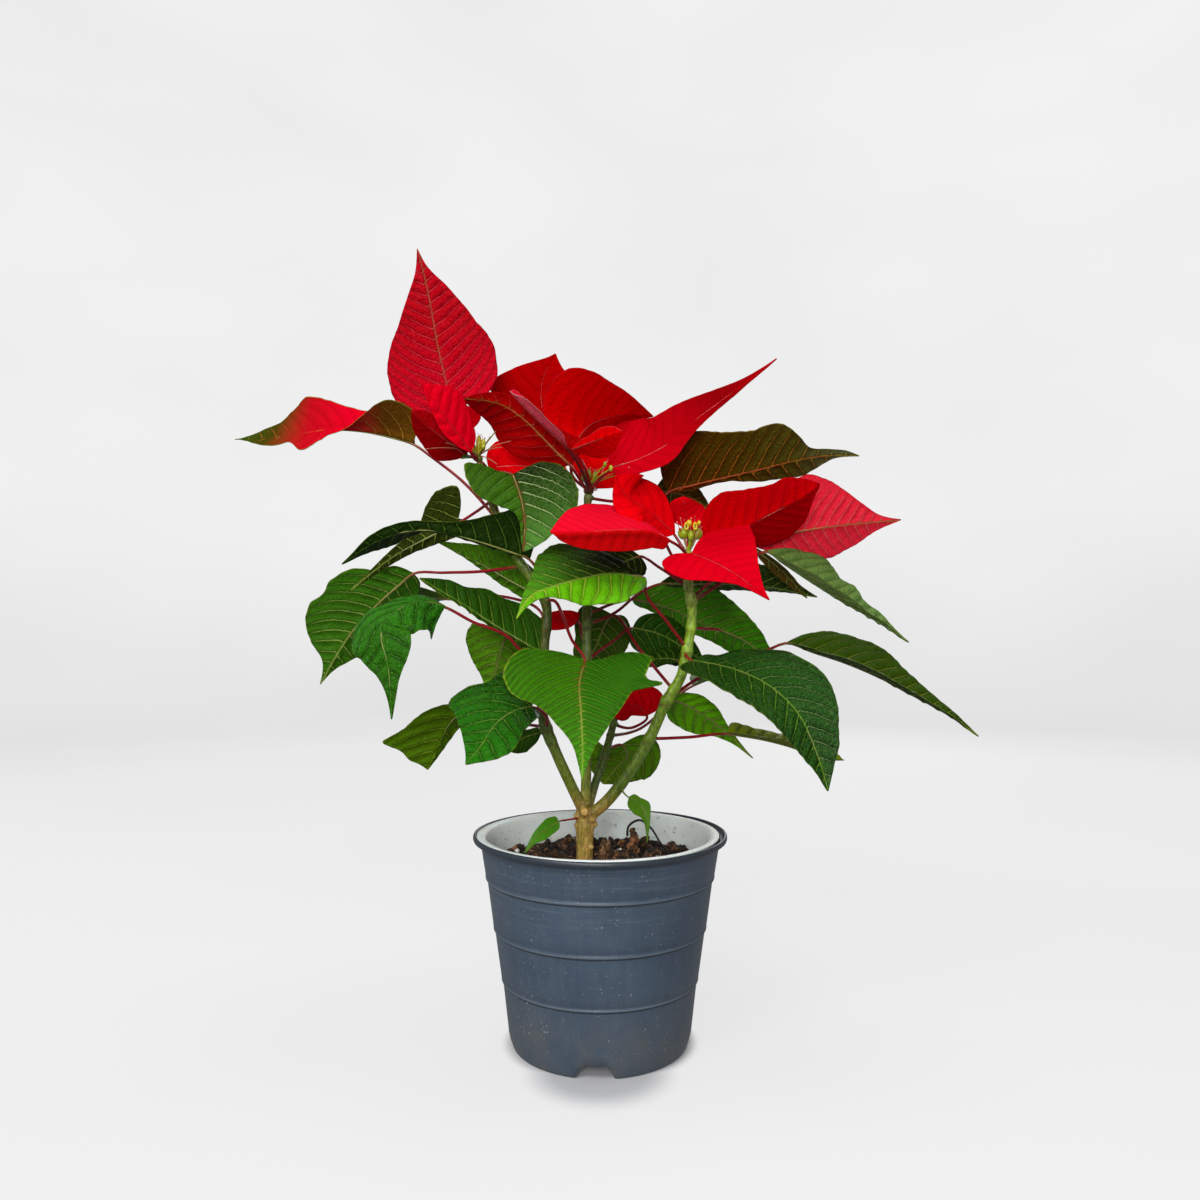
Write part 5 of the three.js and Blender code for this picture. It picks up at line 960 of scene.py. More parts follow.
# places on each branch's middle line, and its radii from foot to tip
BRANCHES = {
    "left": ([(-9, -1, 132), (-17, -3, 149), (-26, -5, 169), (-33, -6, 187), (-33, -6, 230), (-33, -6, 260),
              (-42, -6, 273), (-53, -6, 291), (-61, -7, 308), (-67, -8, 328), (-72, -9, 341)],
             [3.4, 2.9, 2.4]),
    "centre": ([(-9, 1, 133), (-8, 3, 164), (-8, 5, 200), (-8, 8, 248), (-8, 9, 284), (-8, 10, 314),
                (-7, 10, 325)], [3.2, 2.8, 2.3]),
    "back": ([(-8, 2, 131), (-3, 10, 148), (2, 16, 162), (7, 22, 178), (9, 26, 186)], [2.8, 2.3]),
    "right": ([(-8, -1, 130), (2, -3, 138), (15, -5, 154), (29, -7, 177), (39, -9, 199), (48, -10, 215),
               (51, -10, 228), (54, -10, 247), (54, -11, 256), (52, -12, 268), (52, -13, 282)],
              [3.7, 3.2, 2.6]),
}
KNOBS = (((-13.2, -2.0, 131.0), 2.6), ((-4.6, -2.4, 129.5), 2.8), ((-3.4, -1.2, 126.0), 2.2),
         ((-13.6, -1.5, 125.5), 2.0), ((-8.2, -3.2, 138.5), 2.2), ((-12.8, -2.2, 116.0), 1.8),
         ((-5.2, -3.4, 113.0), 1.7))
BRANCH_STATIONS = np.linspace(0, 1, BRANCH_STEPS + 1)
branch_lines = {key: curve(route)(BRANCH_STATIONS)[0] for key, (route, radii) in BRANCHES.items()}


def seat_on_stem(petiole):
    """The branch nearest to a petiole's foot, and the number of the nearest place on its middle line."""
    gaps = {key: np.linalg.norm(line - petiole[0], axis=1) for key, line in branch_lines.items()}
    key = min(gaps, key=lambda name: gaps[name].min())
    return key, int(gaps[key].argmin())


SPROUT_SEAT, LEAF_SEAT, BRACT_SEAT = 0.4, 1.0, 0.8
seats = []

for shapes, base_look, first_seed, slot, swelling in (
        (LEAVES, LEAF_LOOK, 1, "leaf", LEAF_SEAT), (LOW_BRACTS, BRACT_LOOK, 60, "bract", BRACT_SEAT)):
    for number, shape in enumerate(shapes):
        name = shape["name"]
        look = {**base_look, "seed": first_seed + number, **LOOKS.get(name, {})}
        branch, step = seat_on_stem(shape["petiole"])
        foot = branch_lines[branch][step]
        ahead = (shape["petiole"] + shape["midrib"])[1]
        seats.append((branch, step, ahead, SPROUT_SEAT if "sprout" in name else swelling))
        skin = SKINS[look.get("skin", "plain" if slot == "leaf" else "bract")]
        parts = [blade_part(shape, look), stalk_part(shape, look, foot.tolist())]
        dress(mesh_piece(name + "_tissue", parts, [skin, petiole_skin]), slot, name)


# ------------------------------------------------------------------ blooms

CUP_GREEN = (0.32, 0.40, 0.010)
CUP_LIME = (0.55, 0.50, 0.02)
CUP_OLIVE = (0.26, 0.28, 0.02)
CUP_YELLOW = (0.66, 0.50, 0.015)
# painted shade inside a gland's hollow
GLAND_HOLLOW_SHADE = (0.05, 0.06, 0.008)
STAMEN_RED = (0.45, 0.02, 0.02)
STAMEN_PINK = (0.60, 0.16, 0.15)
POLLEN = (0.5, 0.32, 0.03)
OLIVE_BUD = (0.20, 0.16, 0.02)
GREEN_BUD = (0.40, 0.44, 0.03)
TAN_BUD = (0.42, 0.14, 0.07)
LEAFLET_GREEN = (0.02, 0.06, 0.004)


def partway(start, end, x_share, y_share, z_share):
    """A place on the way from start to end, with a share of its own for each direction."""
    return [lerp(a, b, share) for a, b, share in zip(start, end, (x_share, y_share, z_share))]


def cyathium(place, radius, seat, seed, stamens, form, colour):
    """One cup on its stalk with thin stamens in its mouth; form is its width, height and lift in radii."""
    rng = np.random.default_rng(seed)
    x, y, z = place
    wide, tall, lift = form
    parts = [tube([seat, partway(seat, place, 0.6, 0.6, 0.45), place], [0.95, 0.8, 0.9], 8, 8, colour),
             egg([x, y, z + radius * lift], radius * wide, tall / wide, 16, 11, colour, 0.25, seed)]
    for k in range(stamens):
        a = rng.uniform(0, 2 * math.pi)
        lean = rng.uniform(0.1, 0.75)
        reach = rng.uniform(0.8, 2.0)
        foot = [x + 0.3 * radius * math.cos(a), y + 0.3 * radius * math.sin(a),
                z + radius * (lift + 0.7 * tall)]
        head = [foot[0] + reach * lean * math.cos(a), foot[1] + reach * lean * math.sin(a), foot[2] + reach]
        tone = STAMEN_RED if rng.random() < 0.5 else STAMEN_PINK
        parts.append(tube([foot, partway(foot, head, 0.4, 0.4, 0.6), head], [0.17, 0.14], 5, 4, tone))
        parts.append(egg(head, 0.32, 0.9, 7, 4, POLLEN if k % 3 == 0 else tone, 0.0, seed + k))
    return parts


def gland(middle, half, tall):
    """A yellow two-lipped gland seen from the front: an oval ring round a dark egg, painted shade in its
    hollow.
    """
    x, y, z = middle
    ring = [(x + half * math.cos(a), y - 0.25 * math.sin(a) ** 2, z + tall * math.sin(a))
            for a in np.linspace(0, 2 * math.pi, 17)]
    # painted shade: a dark egg fills the ring where the hollow is in shade
    hollow = egg((x, y + 0.5, z), half, tall / half, 12, 8, GLAND_HOLLOW_SHADE)
    return [tube(ring, [0.66, 0.56, 0.66], 8, 48, CUP_YELLOW, round_end=False), hollow]


def thread(start, end, radius, colour, sag, head):
    """A thin bent stalk with a small bud at its end."""
    x, y, z = partway(start, end, 0.55, 0.6, 0.5)
    parts = [tube([start, [x, y - 0.8, z + sag], end], [radius, 0.8 * radius], 6, 14, colour)]
    if head:
        parts.append(egg(end, head, 1.5, 8, 5, colour))
    return parts


# end, radius, colour, height of the bend, radius of the bud
THREADS = {
    "left": (((-60.6, -20, 357.2), 0.42, OLIVE_BUD, 1.0, 0.0),
             ((-57.1, -20, 347.8), 0.38, TAN_BUD, 1.0, 0.0),
             ((-52.0, -18, 351.8), 0.34, TAN_BUD, 1.5, 0.0),
             ((-88.4, -28, 348.6), 0.38, TAN_BUD, 1.0, 0.0),
             ((-100.1, -30, 344.7), 0.32, TAN_BUD, 2.0, 0.0),
             ((-60.4, -14, 338.7), 0.36, TAN_BUD, 0.5, 0.0),
             ((-64.4, -18, 353.6), 0.50, OLIVE_BUD, 0.5, 0.6),
             ((-68.2, -17, 349.0), 0.50, GREEN_BUD, 0.3, 1.2),
             ((-76.2, -17, 355.0), 0.80, CUP_LIME, 0.4, 0.9)),
    "centre": (((17.2, -10, 337.3), 0.38, TAN_BUD, 1.0, 0.6),
               ((6.5, -8, 337.5), 0.42, GREEN_BUD, 0.8, 1.3),
               ((12.5, -8, 334.1), 0.42, OLIVE_BUD, 0.5, 0.9),
               ((3.0, 0, 341.3), 0.55, GREEN_BUD, 1.0, 1.2)),
    "right": (((45.0, -17, 304.2), 0.26, STAMEN_PINK, 0.5, 0.45),
              ((49.2, -17, 305.8), 0.26, STAMEN_RED, 0.5, 0.5),
              ((53.2, -18, 306.4), 0.26, STAMEN_PINK, 0.5, 0.5),
              ((57.8, -17, 305.2), 0.26, STAMEN_RED, 0.5, 0.5),
              ((60.4, -17, 303.4), 0.26, STAMEN_PINK, 0.5, 0.45),
              ((47.0, -17, 306.6), 0.22, STAMEN_PINK, 0.5, 0.4),
              ((55.6, -17, 307.6), 0.22, STAMEN_RED, 0.5, 0.4)),
}
GLANDS = (((50.3, -19.0, 301.6), 0.9, 1.9), ((55.4, -19.0, 301.6), 0.8, 1.9))
GLAND_TIPS = (((52.0, -17.6, 303.6), 1.7, 1.2), ((57.8, -17.6, 303.8), 1.0, 1.4))
STIGMAS = ((46.6, -18, 300.1), (58.9, -18, 300.7))
LEAFLET = ((-75.7, -16, 342.7), (-78.6, -19, 342.4), (-80.9, -20, 340.8))


def bloom_details(side, start):
    """Thin stalks and buds round the cups; also the right bloom's open glands and the left one's leaflet."""
    parts = []
    for end, radius, colour, sag, head in THREADS[side]:
        parts += thread(start, end, radius, colour, sag, head)
    if side == "right":
        for middle, half, tall in GLANDS:
            parts += gland(middle, half, tall)
        for place, radius, stretch in GLAND_TIPS:
            parts.append(egg(place, radius, stretch, 12, 8, CUP_YELLOW))
        for place in STIGMAS:
            parts.append(egg(place, 0.9, 0.8, 10, 6, STAMEN_RED))
    if side == "left":
        parts.append(tube(LEAFLET, [0.5, 2.2, 2.4, 1.6, 0.3], 10, 12, LEAFLET_GREEN, oval=0.3))
    return parts


# stamens of a cup; its width, height and lift in radii; colour
CUP_STYLE = {"left": (3, (0.72, 2.1, 0.5), CUP_LIME), "centre": (9, (0.8, 1.7, 0.6), CUP_OLIVE),
             "right": (8, (1.3, 1.45, -0.35), CUP_GREEN)}
SLIM_RADIUS = 2.5       # the right bloom's cups below this radius are slim and closed
SLIM_CUP = (0.8, 1.5, 0.2)
HUB_EGGS = {"left": (0.62, (0.12, 0.14, 0.02)), "centre": (0.8, (0.16, 0.16, 0.03)),
            "right": (0.8, (0.34, 0.40, 0.04))}

for order, (side, bloom) in enumerate(BLOOMS.items()):
    parts = []
    for number, shape in enumerate(bloom["bracts"]):
        look = {**BRACT_LOOK, "seed": 80 + 10 * order + number, **BLOOM_LOOKS[side][number]}
        material = 2 if look.get("skin") == "crinkled" else 0
        parts += [{**blade_part(shape, look), "material": material}, stalk_part(shape, look)]
    size, green = HUB_EGGS[side]
    x, y, z = bloom["hub"]
    hub_top = [x, y, z + HUB_RADIUS * size - 0.5]
    hub = egg(bloom["hub"], HUB_RADIUS * size, 1.0, 20, 12, green, 0.0, 5 + order)
    parts += [{**part, "material": 1} for part in [hub] + bloom_details(side, hub_top)]
    skins = [SKINS["bract"], petiole_skin, SKINS["crinkled"]]
    dress(mesh_piece("bracts_" + side + "_tissue", parts, skins), "bract", "bracts_" + side)
    stamens, form, colour = CUP_STYLE[side]
    cups = []
    for number, (*place, radius) in enumerate(bloom["cups"]):
        slim = side == "right" and radius < SLIM_RADIUS
        cups += cyathium(place, radius, hub_top, 100 + 10 * order + number, 0 if slim else stamens,
                         SLIM_CUP if slim else form, colour)
    dress(mesh_piece("cyathia_" + side + "_cups", cups, [petiole_skin]), "cyathium", "cyathia_" + side)


# ------------------------------------------------------------------ stem

TRUNK = ((TRUNK_X, 0, 62), (-9.2, 0, 90), (-9.2, 0, SOIL_LEVEL), (TRUNK_X, 0, 118), (TRUNK_X, 0, 136))
TRUNK_RADII = (4.8, 5.4, 5.6, 5.1, 5.0, 5.3, 5.7, 5.2)
STUB = ((TRUNK_X, 0, 133), (-9.2, -6.6, 134.4))
SEAT_HALF_WIDTH = 0.014     # share of the branch over which it swells at a petiole's foot
SEAT_SWELLING = 0.55
VOXEL = 0.00062             # metres
WOODY = (0.58, 0.36, 0.09)
TAN = (0.56, 0.30, 0.07)
MOSS = (0.26, 0.24, 0.03)
OLIVE = (0.13, 0.15, 0.010)
GREEN = (0.12, 0.20, 0.008)
RED_BROWN = (0.24, 0.10, 0.03)
PALE = (0.38, 0.46, 0.10)
SCAR = (0.12, 0.06, 0.02)
BARK_RING = (0.16, 0.05, 0.015)
CUT_WOOD = (0.74, 0.42, 0.09)
# colours from foot to tip, each with its brightness
BRANCH_COLOURS = {
    "left": ((OLIVE, 1.6), (GREEN, 0.9), (OLIVE, 0.5), (GREEN, 1.1), (RED_BROWN, 1)),
    "centre": ((OLIVE, 1.8), (OLIVE, 1.5), (GREEN, 0.8), (OLIVE, 0.7), (OLIVE, 0.9)),
    "back": ((GREEN, 0.5), (GREEN, 0.6), (GREEN, 0.8)),
    "right": ((GREEN, 1), (GREEN, 1), (GREEN, 1.6), (GREEN, 2.4), (PALE, 1.1)),
}


def stem_lumps():
    """Trunk, branches, cut stub, knobs and petiole feet as lumpy closed parts that overlap."""
    parts = [tube(TRUNK, TRUNK_RADII, 20, 40, lumps=0.05, seed=3)]
    fine = np.linspace(0, 1, 65)
    for key, (route, radii) in BRANCHES.items():
        radius = along(radii, fine)
        for branch, step, ahead, size in seats:
            if branch == key:
                from_seat = (fine - step / BRANCH_STEPS) / SEAT_HALF_WIDTH
                radius = radius + SEAT_SWELLING * size * np.exp(-from_seat ** 2)
        parts.append(tube(route, radius, 14, 64, lumps=0.015, seed=7 + len(key), round_end=False))
    parts.append(tube(STUB, [2.7, 2.4], 14, 4, round_end=False))
    for place, radius in KNOBS:
        parts.append(egg(place, radius, 0.9, 10, 6, seed=int(10 * radius)))
    for branch, step, ahead, size in seats:
        foot = branch_lines[branch][step]
        end = foot + 4.3 * unit(np.asarray(ahead, float) - foot)
        parts.append(tube([foot, end], [1.9 * size + 0.4, 1.25 * size + 0.2], 10, 4))
    return parts


def one_skin(name, parts):
    """A mesh that joins overlapping parts into one softened skin, and its points in mm."""
    rough = mesh_piece(name, parts, [])
    remesh = rough.modifiers.new("join", "REMESH")
    remesh.mode = "VOXEL"
    remesh.voxel_size = VOXEL
    soften = rough.modifiers.new("soften", "SMOOTH")
    soften.factor = 0.5
    soften.iterations = 4
    mesh = bpy.data.meshes.new_from_object(rough.evaluated_get(bpy.context.evaluated_depsgraph_get()))
    bpy.data.objects.remove(rough)
    places = np.empty(len(mesh.vertices) * 3)
    mesh.vertices.foreach_get("co", places)
    return mesh, places.reshape(-1, 3) / MM


def nearest_places(p):
    """For each point the number of its branch and the share along it, found in batches to save memory."""
    batch = 4000
    lines = np.concatenate(list(branch_lines.values()))
    nearest = np.empty(len(p), int)
    for begin in range(0, len(p), batch):
        gap = np.linalg.norm(p[begin:begin + batch, None] - lines[None], axis=2)
        nearest[begin:begin + batch] = gap.argmin(axis=1)
    count = BRANCH_STEPS + 1
    return nearest // count, nearest % count / BRANCH_STEPS


def stem_colour(p):
    """Woody low down, green on the branches, with moss, blotches, leaf scars and the cut end of the stub."""
    x, y, z = p.T
    branch, share = nearest_places(p)
    mossy = smooth(0.35, 0.6, ripple(x * 1.1, z * 0.22, 24) * 0.5 + 0.5)[:, None] * 0.5
    bark = blend(blend(np.asarray(WOODY), TAN, smooth(118, 150, z)[:, None]), MOSS, mossy)
    shades = [along([np.asarray(colour) * bright for colour, bright in BRANCH_COLOURS[key]], share)
              for key in branch_lines]
    colour = blend(bark, np.choose(branch[:, None], shades), smooth(129, 150, z)[:, None])
    mottled = 1 + 0.16 * ripple(x * 0.5, z * 0.16, 21) + 0.14 * ripple(x * 1.6, z * 0.1, 22)
    colour = colour * mottled[:, None]
    for key, step, ahead, size in seats:
        foot = branch_lines[key][step]
        ring = np.exp(-(np.abs(z - foot[2] + 2.2) / 0.9) ** 2) * (np.linalg.norm(p - foot, axis=1) < 7)
        colour = blend(colour, SCAR, 0.35 * ring[:, None])
    from_cut = np.hypot(x - STUB[1][0], z - STUB[1][2])
    bark_ring = np.exp(-((from_cut - 4.0) / 0.8) ** 2) * smooth(-3.5, -5.0, y)
    colour = blend(colour, BARK_RING, 0.6 * bark_ring[:, None])
    cut = smooth(-5.6, -6.4, y) * smooth(3.8, 2.6, from_cut)
    return np.clip(blend(colour, CUT_WOOD, cut[:, None]), 0, 1)


def stem_piece():
    mesh, p = one_skin("stem_rough", stem_lumps())
    add_layer(mesh, "tint", np.concatenate([stem_colour(p), np.ones((len(p), 1))], axis=1))
    add_layer(mesh, "flat", np.stack([p[:, 0] + 0.6 * p[:, 1], p[:, 2], p[:, 1]], axis=1))
    mesh.polygons.foreach_set("use_smooth", [True] * len(mesh.polygons))
    mesh.materials.clear()
    mesh.materials.append(stem_skin)
    dress(add_object("stem_skin", mesh), "stem", "stem")


stem_piece()


# ------------------------------------------------------------------ pots

LEDGES = (38.3, 67.8, 97.0)     # heights of the steps in the outer pot's wall


def pot_material():
    """Cloudy, streaked, scuffed, speckled blue plastic, dusty low down, with painted shade under the steps, a
    painted highlight on them and painted shade and dark reflection on the rim.
    """
    n = Nodes("pot_plastic")
    mm = n.place_mm()
    z = n.split(mm)[2]
    cloudy = n.noise(mm, 0.022, 4, 0.6)
    streaks = n.noise(n.scaled(mm, (0.9, 0.9, 0.06)), 0.25, 4, 0.7)
    rounds = n.noise(n.scaled(mm, (0.05, 0.05, 1.5)), 0.5, 4, 0.7)
    crowd = n.ramp(n.noise(mm, 0.035, 3, 0.6), 0.44, 0.70, 0.04, -0.02)
    specks = n.ramp(n.math("SUBTRACT", n.noise(mm, 0.75, 2, 0.6), crowd), 0.67, 0.715)
    scuffs = n.ramp(n.noise(n.scaled(mm, (0.25, 0.25, 1.6)), 0.35, 5, 0.75), 0.58, 0.76)
    dirt = n.ramp(n.noise(mm, 0.04, 6, 0.75), 0.30, 0.75)
    low = n.ramp(z, 4.0, 52.0, 1.0, 0.0)
    high = n.ramp(z, 66.0, 92.0, 0.0, 1.0)
    base = n.mix(cloudy, (0.034, 0.056, 0.088), (0.080, 0.116, 0.165))
    coats = [(n.times(n.math("SUBTRACT", streaks, 0.42), 0.9, clamp=True), (0.11, 0.145, 0.19)),
             (n.times(n.ramp(rounds, 0.5, 0.7), n.times(high, 0.5)), (0.13, 0.16, 0.20)),
             (n.times(scuffs, 0.40), (0.19, 0.22, 0.26)),
             (n.times(n.times(low, dirt), 0.9), (0.120, 0.118, 0.112)),
             (n.times(specks, 0.75), (0.42, 0.42, 0.42))]
    for ledge in LEDGES:
        # painted shade: a dark line under each step; painted highlight: a light line on top of it
        coats.append((n.times(n.math("COMPARE", z, ledge - 0.9, 0.55), 0.7), (0.012, 0.018, 0.026)))
        coats.append((n.times(n.math("COMPARE", z, ledge + 0.3, 0.4), 0.45), (0.20, 0.235, 0.27)))
    # painted shade and painted dark reflection: the rim darker than the wall
    coats.append((n.ramp(z, 117.2, 117.9, 0.0, 0.85), (0.022, 0.030, 0.038)))
    for share, colour in coats:
        base = n.mix(share, base, colour)
    rough = n.plus(n.times(cloudy, 0.22), n.math("MULTIPLY_ADD", scuffs, 0.2, 0.28))
    relief = n.plus(n.times(streaks, 0.6), n.times(n.noise(mm, 0.9, 3), 0.5))
    return n.finish(base, rough, n.bump(relief, 0.4, 0.0008))


def liner_material():
    """Pale plastic with smears and flecks of dirt, more of them near the soil."""
    n = Nodes("liner_plastic")
    mm = n.place_mm()
    cloudy = n.noise(mm, 0.05, 4, 0.6)
    dirt = n.ramp(n.noise(mm, 0.24, 4, 0.75), 0.60, 0.68)
    smears = n.ramp(n.noise(mm, 0.09, 5, 0.7), 0.48, 0.66)
    near_soil = n.ramp(n.split(mm)[2], 101.0, 117.0, 1.0, 0.45)
    base = n.mix(cloudy, (0.88, 0.94, 0.92), (0.98, 0.98, 0.94))
    base = n.mix(n.times(smears, n.times(near_soil, 0.25)), base, (0.42, 0.33, 0.24))
    base = n.mix(n.times(dirt, near_soil), base, (0.07, 0.04, 0.025))
    return n.finish(base, n.math("MULTIPLY_ADD", cloudy, 0.2, 0.35), n.bump(cloudy, 0.15, 0.0005),
                    Subsurface_Weight=0.15, Subsurface_Scale=0.004)


def soil_material():
    n = Nodes("soil_grain")
    mm = n.place_mm()
    coarse = n.noise(mm, 0.3, 5, 0.7)
    fine = n.noise(mm, 1.3, 5, 0.7)
    shade = n.plus(n.times(n.ramp(coarse, 0.35, 0.62), 1.3), n.math("MULTIPLY_ADD", fine, 0.9, -0.1))
    colour = n.shaded(n.attribute("tint").outputs["Color"], shade)
    return n.finish(colour, 0.7, n.bump(fine, 1.0, 0.0016))


NOTCH_TURNS = (-93, -3, 87, 177)    # degrees round the foot ring
NOTCH_HEIGHT = 7.4
NOTCH_HALF_WIDTH = 11
NOTCH_SLOPE = 4.5                   # width over which a notch's side rises
RING_OUTSIDE = 51.4
RING_INSIDE = 44
RING_TOP = 7.9


def shaped_outer(verts):
    """Notches in the foot ring, a wall that is slightly out of round and a rim that is slightly wavy."""
    verts = verts.copy()
    angle = np.arctan2(verts[:, 1], verts[:, 0])
    notch = np.zeros(len(verts))
    for middle in NOTCH_TURNS:
        away = np.abs((np.degrees(angle) - middle + 180) % 360 - 180)
        reach = away * np.radians(1) * RING_OUTSIDE
        notch = np.maximum(notch, NOTCH_HEIGHT * np.clip((NOTCH_HALF_WIDTH - reach) / NOTCH_SLOPE, 0, 1))
    ring = (np.hypot(verts[:, 0], verts[:, 1]) > RING_INSIDE) & (verts[:, 2] < RING_TOP)
    lift = notch * (1 - verts[:, 2] / RING_TOP)
    verts[ring, 2] += lift[ring]
    swell = 1 + 0.0016 * np.sin(3 * angle + 0.7) * smooth(60, 118, verts[:, 2])
    verts[:, :2] *= swell[:, None]
    verts[:, 2] += 0.35 * np.sin(2 * angle + 1.1) * smooth(112, 119, verts[:, 2])
    return verts


def shaped_inner(verts):
    """A wavy rim."""
    angle = np.arctan2(verts[:, 1], verts[:, 0])
    verts[:, 2] += 0.18 * ripple(4 * np.cos(angle), 4 * np.sin(angle), 31) * smooth(112, 120, verts[:, 2])
    return verts


# [radius, height] from the middle of the underside, round the outside and rim, to the middle of the floor
OUTER_PROFILE = (
    (0, 0), (8.5, 0), (9, 0.5), (9.6, 8), (45.2, 8), (46, 7.4), (46, 0.6), (46.5, 0), (50.6, 0), (51.4, 0.7),
    (51.9, 2.4), (52.9, 5), (53.6, 8), (57.0, 37.2), (57.1, 37.6), (57.9, 38.2), (57.9, 39.0), (57.7, 39.3),
    (57.8, 40.2), (58.1, 40.6), (61.8, 66.6), (61.9, 67.1), (62.7, 67.7), (62.8, 68.6), (62.55, 69.0),
    (62.6, 70.0), (62.9, 70.4), (66.4, 95.6), (66.5, 96.2), (67.5, 96.9), (67.6, 97.8), (67.3, 98.2),
    (67.4, 99.4), (67.7, 99.8), (70.5, 116.8), (71.0, 117.5), (73.9, 117.8), (74.7, 118.4), (75, 119.3),
    (74.95, 120.4), (74.5, 121.2), (73.9, 121.5), (73.3, 121.2), (73.1, 120.3), (72.8, 119.5), (71.6, 119.1),
    (69.8, 118.8), (69.2, 118), (65.2, 97), (50.6, 10.4), (49.8, 9.6), (0, 9.5),
)
INNER_PROFILE = (
    (0, 9.8), (48.3, 9.8), (66.2, 112), (66.8, 118.4), (67.6, 119.5), (70.2, 119.9), (71.3, 119.9),
    (71.7, 120.3), (71.6, 120.9), (71.1, 121.2), (69.6, 121.15), (67.0, 120.6), (66.1, 119.6), (65.3, 115),
    (47.4, 10.7), (0, 10.7),
)
shell = lathe(OUTER_PROFILE, 6.0, 240, 0.0, shaped_outer)
dress(mesh_piece("pot_shell", [shell], [pot_material()]), "pot", "outer_pot")
shell = lathe(INNER_PROFILE, 8.0, 180, LINER_SHIFT, shaped_inner)
dress(mesh_piece("liner_shell", [shell], [liner_material()]), "liner", "inner_pot")


# ------------------------------------------------------------------ soil

SOIL_RADIUS = 62.6
SOIL_FLOOR = (46.8, 11.1)       # radius and height of the bed's underside
EDGE_START = 60                 # beyond this radius the soil stays below the liner's edge
LITTER_REACH = 60
CRUMBS = 1000
FIBRES = 150
SOIL_BROWN = (0.024, 0.013, 0.008)
BROWNS = ((0.030, 0.015, 0.008), (0.07, 0.032, 0.015), (0.16, 0.07, 0.030), (0.016, 0.009, 0.005),
          (0.36, 0.15, 0.05), (0.05, 0.024, 0.012))
STRAWS = ((0.46, 0.23, 0.10), (0.16, 0.08, 0.04), (0.06, 0.03, 0.016))
# place and rise of the stacked lumps, their reach across, deep and up, colour
CHIPS = (((3, -2, 6.5), (5.6, 4.4, 7.6), (0.26, 0.13, 0.055)),
         ((20, 8, 11.5), (5.4, 4.6, 8.4), (0.29, 0.12, 0.045)),
         ((-38, 12, 1.5), (7.6, 4.6, 3.2), (0.10, 0.05, 0.025)),
         ((40, -14, 1.2), (6.6, 4.2, 2.8), (0.12, 0.06, 0.03)))
LUMPS = 26                      # in each chip
PERLITE = ((37.6, 2), (34.9, 6), (38.5, -5), (30, -6), (-22, -10), (12, 20), (-50, 6))
PERLITE_WHITE = (0.80, 0.76, 0.68)
DRY_STALK = ((16.5, 8, 117), (17.5, 8, 123.2), (19.3, 7, 125.2), (24, 5, 127.3), (29.3, 3, 124.2),
             (35.7, 0, 115.3), (39.7, -2, 110))
STALK_BROWN = (0.018, 0.012, 0.010)


def soil_relief(x, y):
    """The same waves as in the CAD source."""
    waves = ((0.11, 0.07, 0.4, 1.5), (-0.09, 0.16, 1.9, 1.3), (0.23, -0.19, 2.6, 0.9), (0.31, 0.27, 0.8, 0.7))
    return sum(height * np.sin(fx * x + fy * y + phase) for fx, fy, phase, height in waves)


def soil_height(x, y):
    grain = sum(height * ripple(x * rate, y * rate, seed)
                for height, rate, seed in ((0.8, 0.5, 41), (0.45, 1.3, 42), (0.25, 2.9, 43)))
    return SOIL_LEVEL + soil_relief(x, y) + grain


def height_at(x, y):
    return soil_height(np.array([x]), np.array([y]))[0]


def crumb(centre, size, seed, tint, tilt=1.0):
    """A closed angular lump: a small rough ball stretched by size and turned at random."""
    rng = np.random.default_rng(seed)
    part = egg((0, 0, 0), 1.0, 1.0, 7, 4, tint, 0.0, seed)
    v = part["verts"] * (1 + 0.28 * rng.standard_normal((len(part["verts"]), 1)))
    v = np.clip(v, -0.95, 0.95) * np.asarray(size)
    for axis, angle in enumerate(rng.uniform(-1, 1, 3) * np.array([tilt, tilt, np.pi])):
        i, j = (axis + 1) % 3, (axis + 2) % 3
        c, s = math.cos(angle), math.sin(angle)
        v[:, i], v[:, j] = c * v[:, i] - s * v[:, j], s * v[:, i] + c * v[:, j]
    return {**part, "verts": v + np.asarray(centre)}


def soil_bed():
    """The filling of the inner pot: level rings outward over the rough top, then in to the underside."""
    angles = turns(220)
    rings = []
    for r in np.linspace(0, SOIL_RADIUS, 64)[1:]:
        ring = circle(r, angles, SOIL_LEVEL, LINER_SHIFT)
        ring[:, 2] = soil_height(ring[:, 0], ring[:, 1])
        if r > EDGE_START:
            ring[:, 2] = np.minimum(ring[:, 2], 103.2 + 0.5 * np.sin(9 * angles))
        rings.append(ring)
    rings.append(circle(SOIL_FLOOR[0], angles, SOIL_FLOOR[1], LINER_SHIFT))
    ends = [[LINER_SHIFT, 0, height_at(LINER_SHIFT, 0.0)], [LINER_SHIFT, 0, SOIL_FLOOR[1]]]
    faces = [tuple(reversed(face)) for face in closed_faces(len(rings), len(angles))]
    return {"verts": np.concatenate(rings + [ends]), "faces": faces, "tint": SOIL_BROWN}


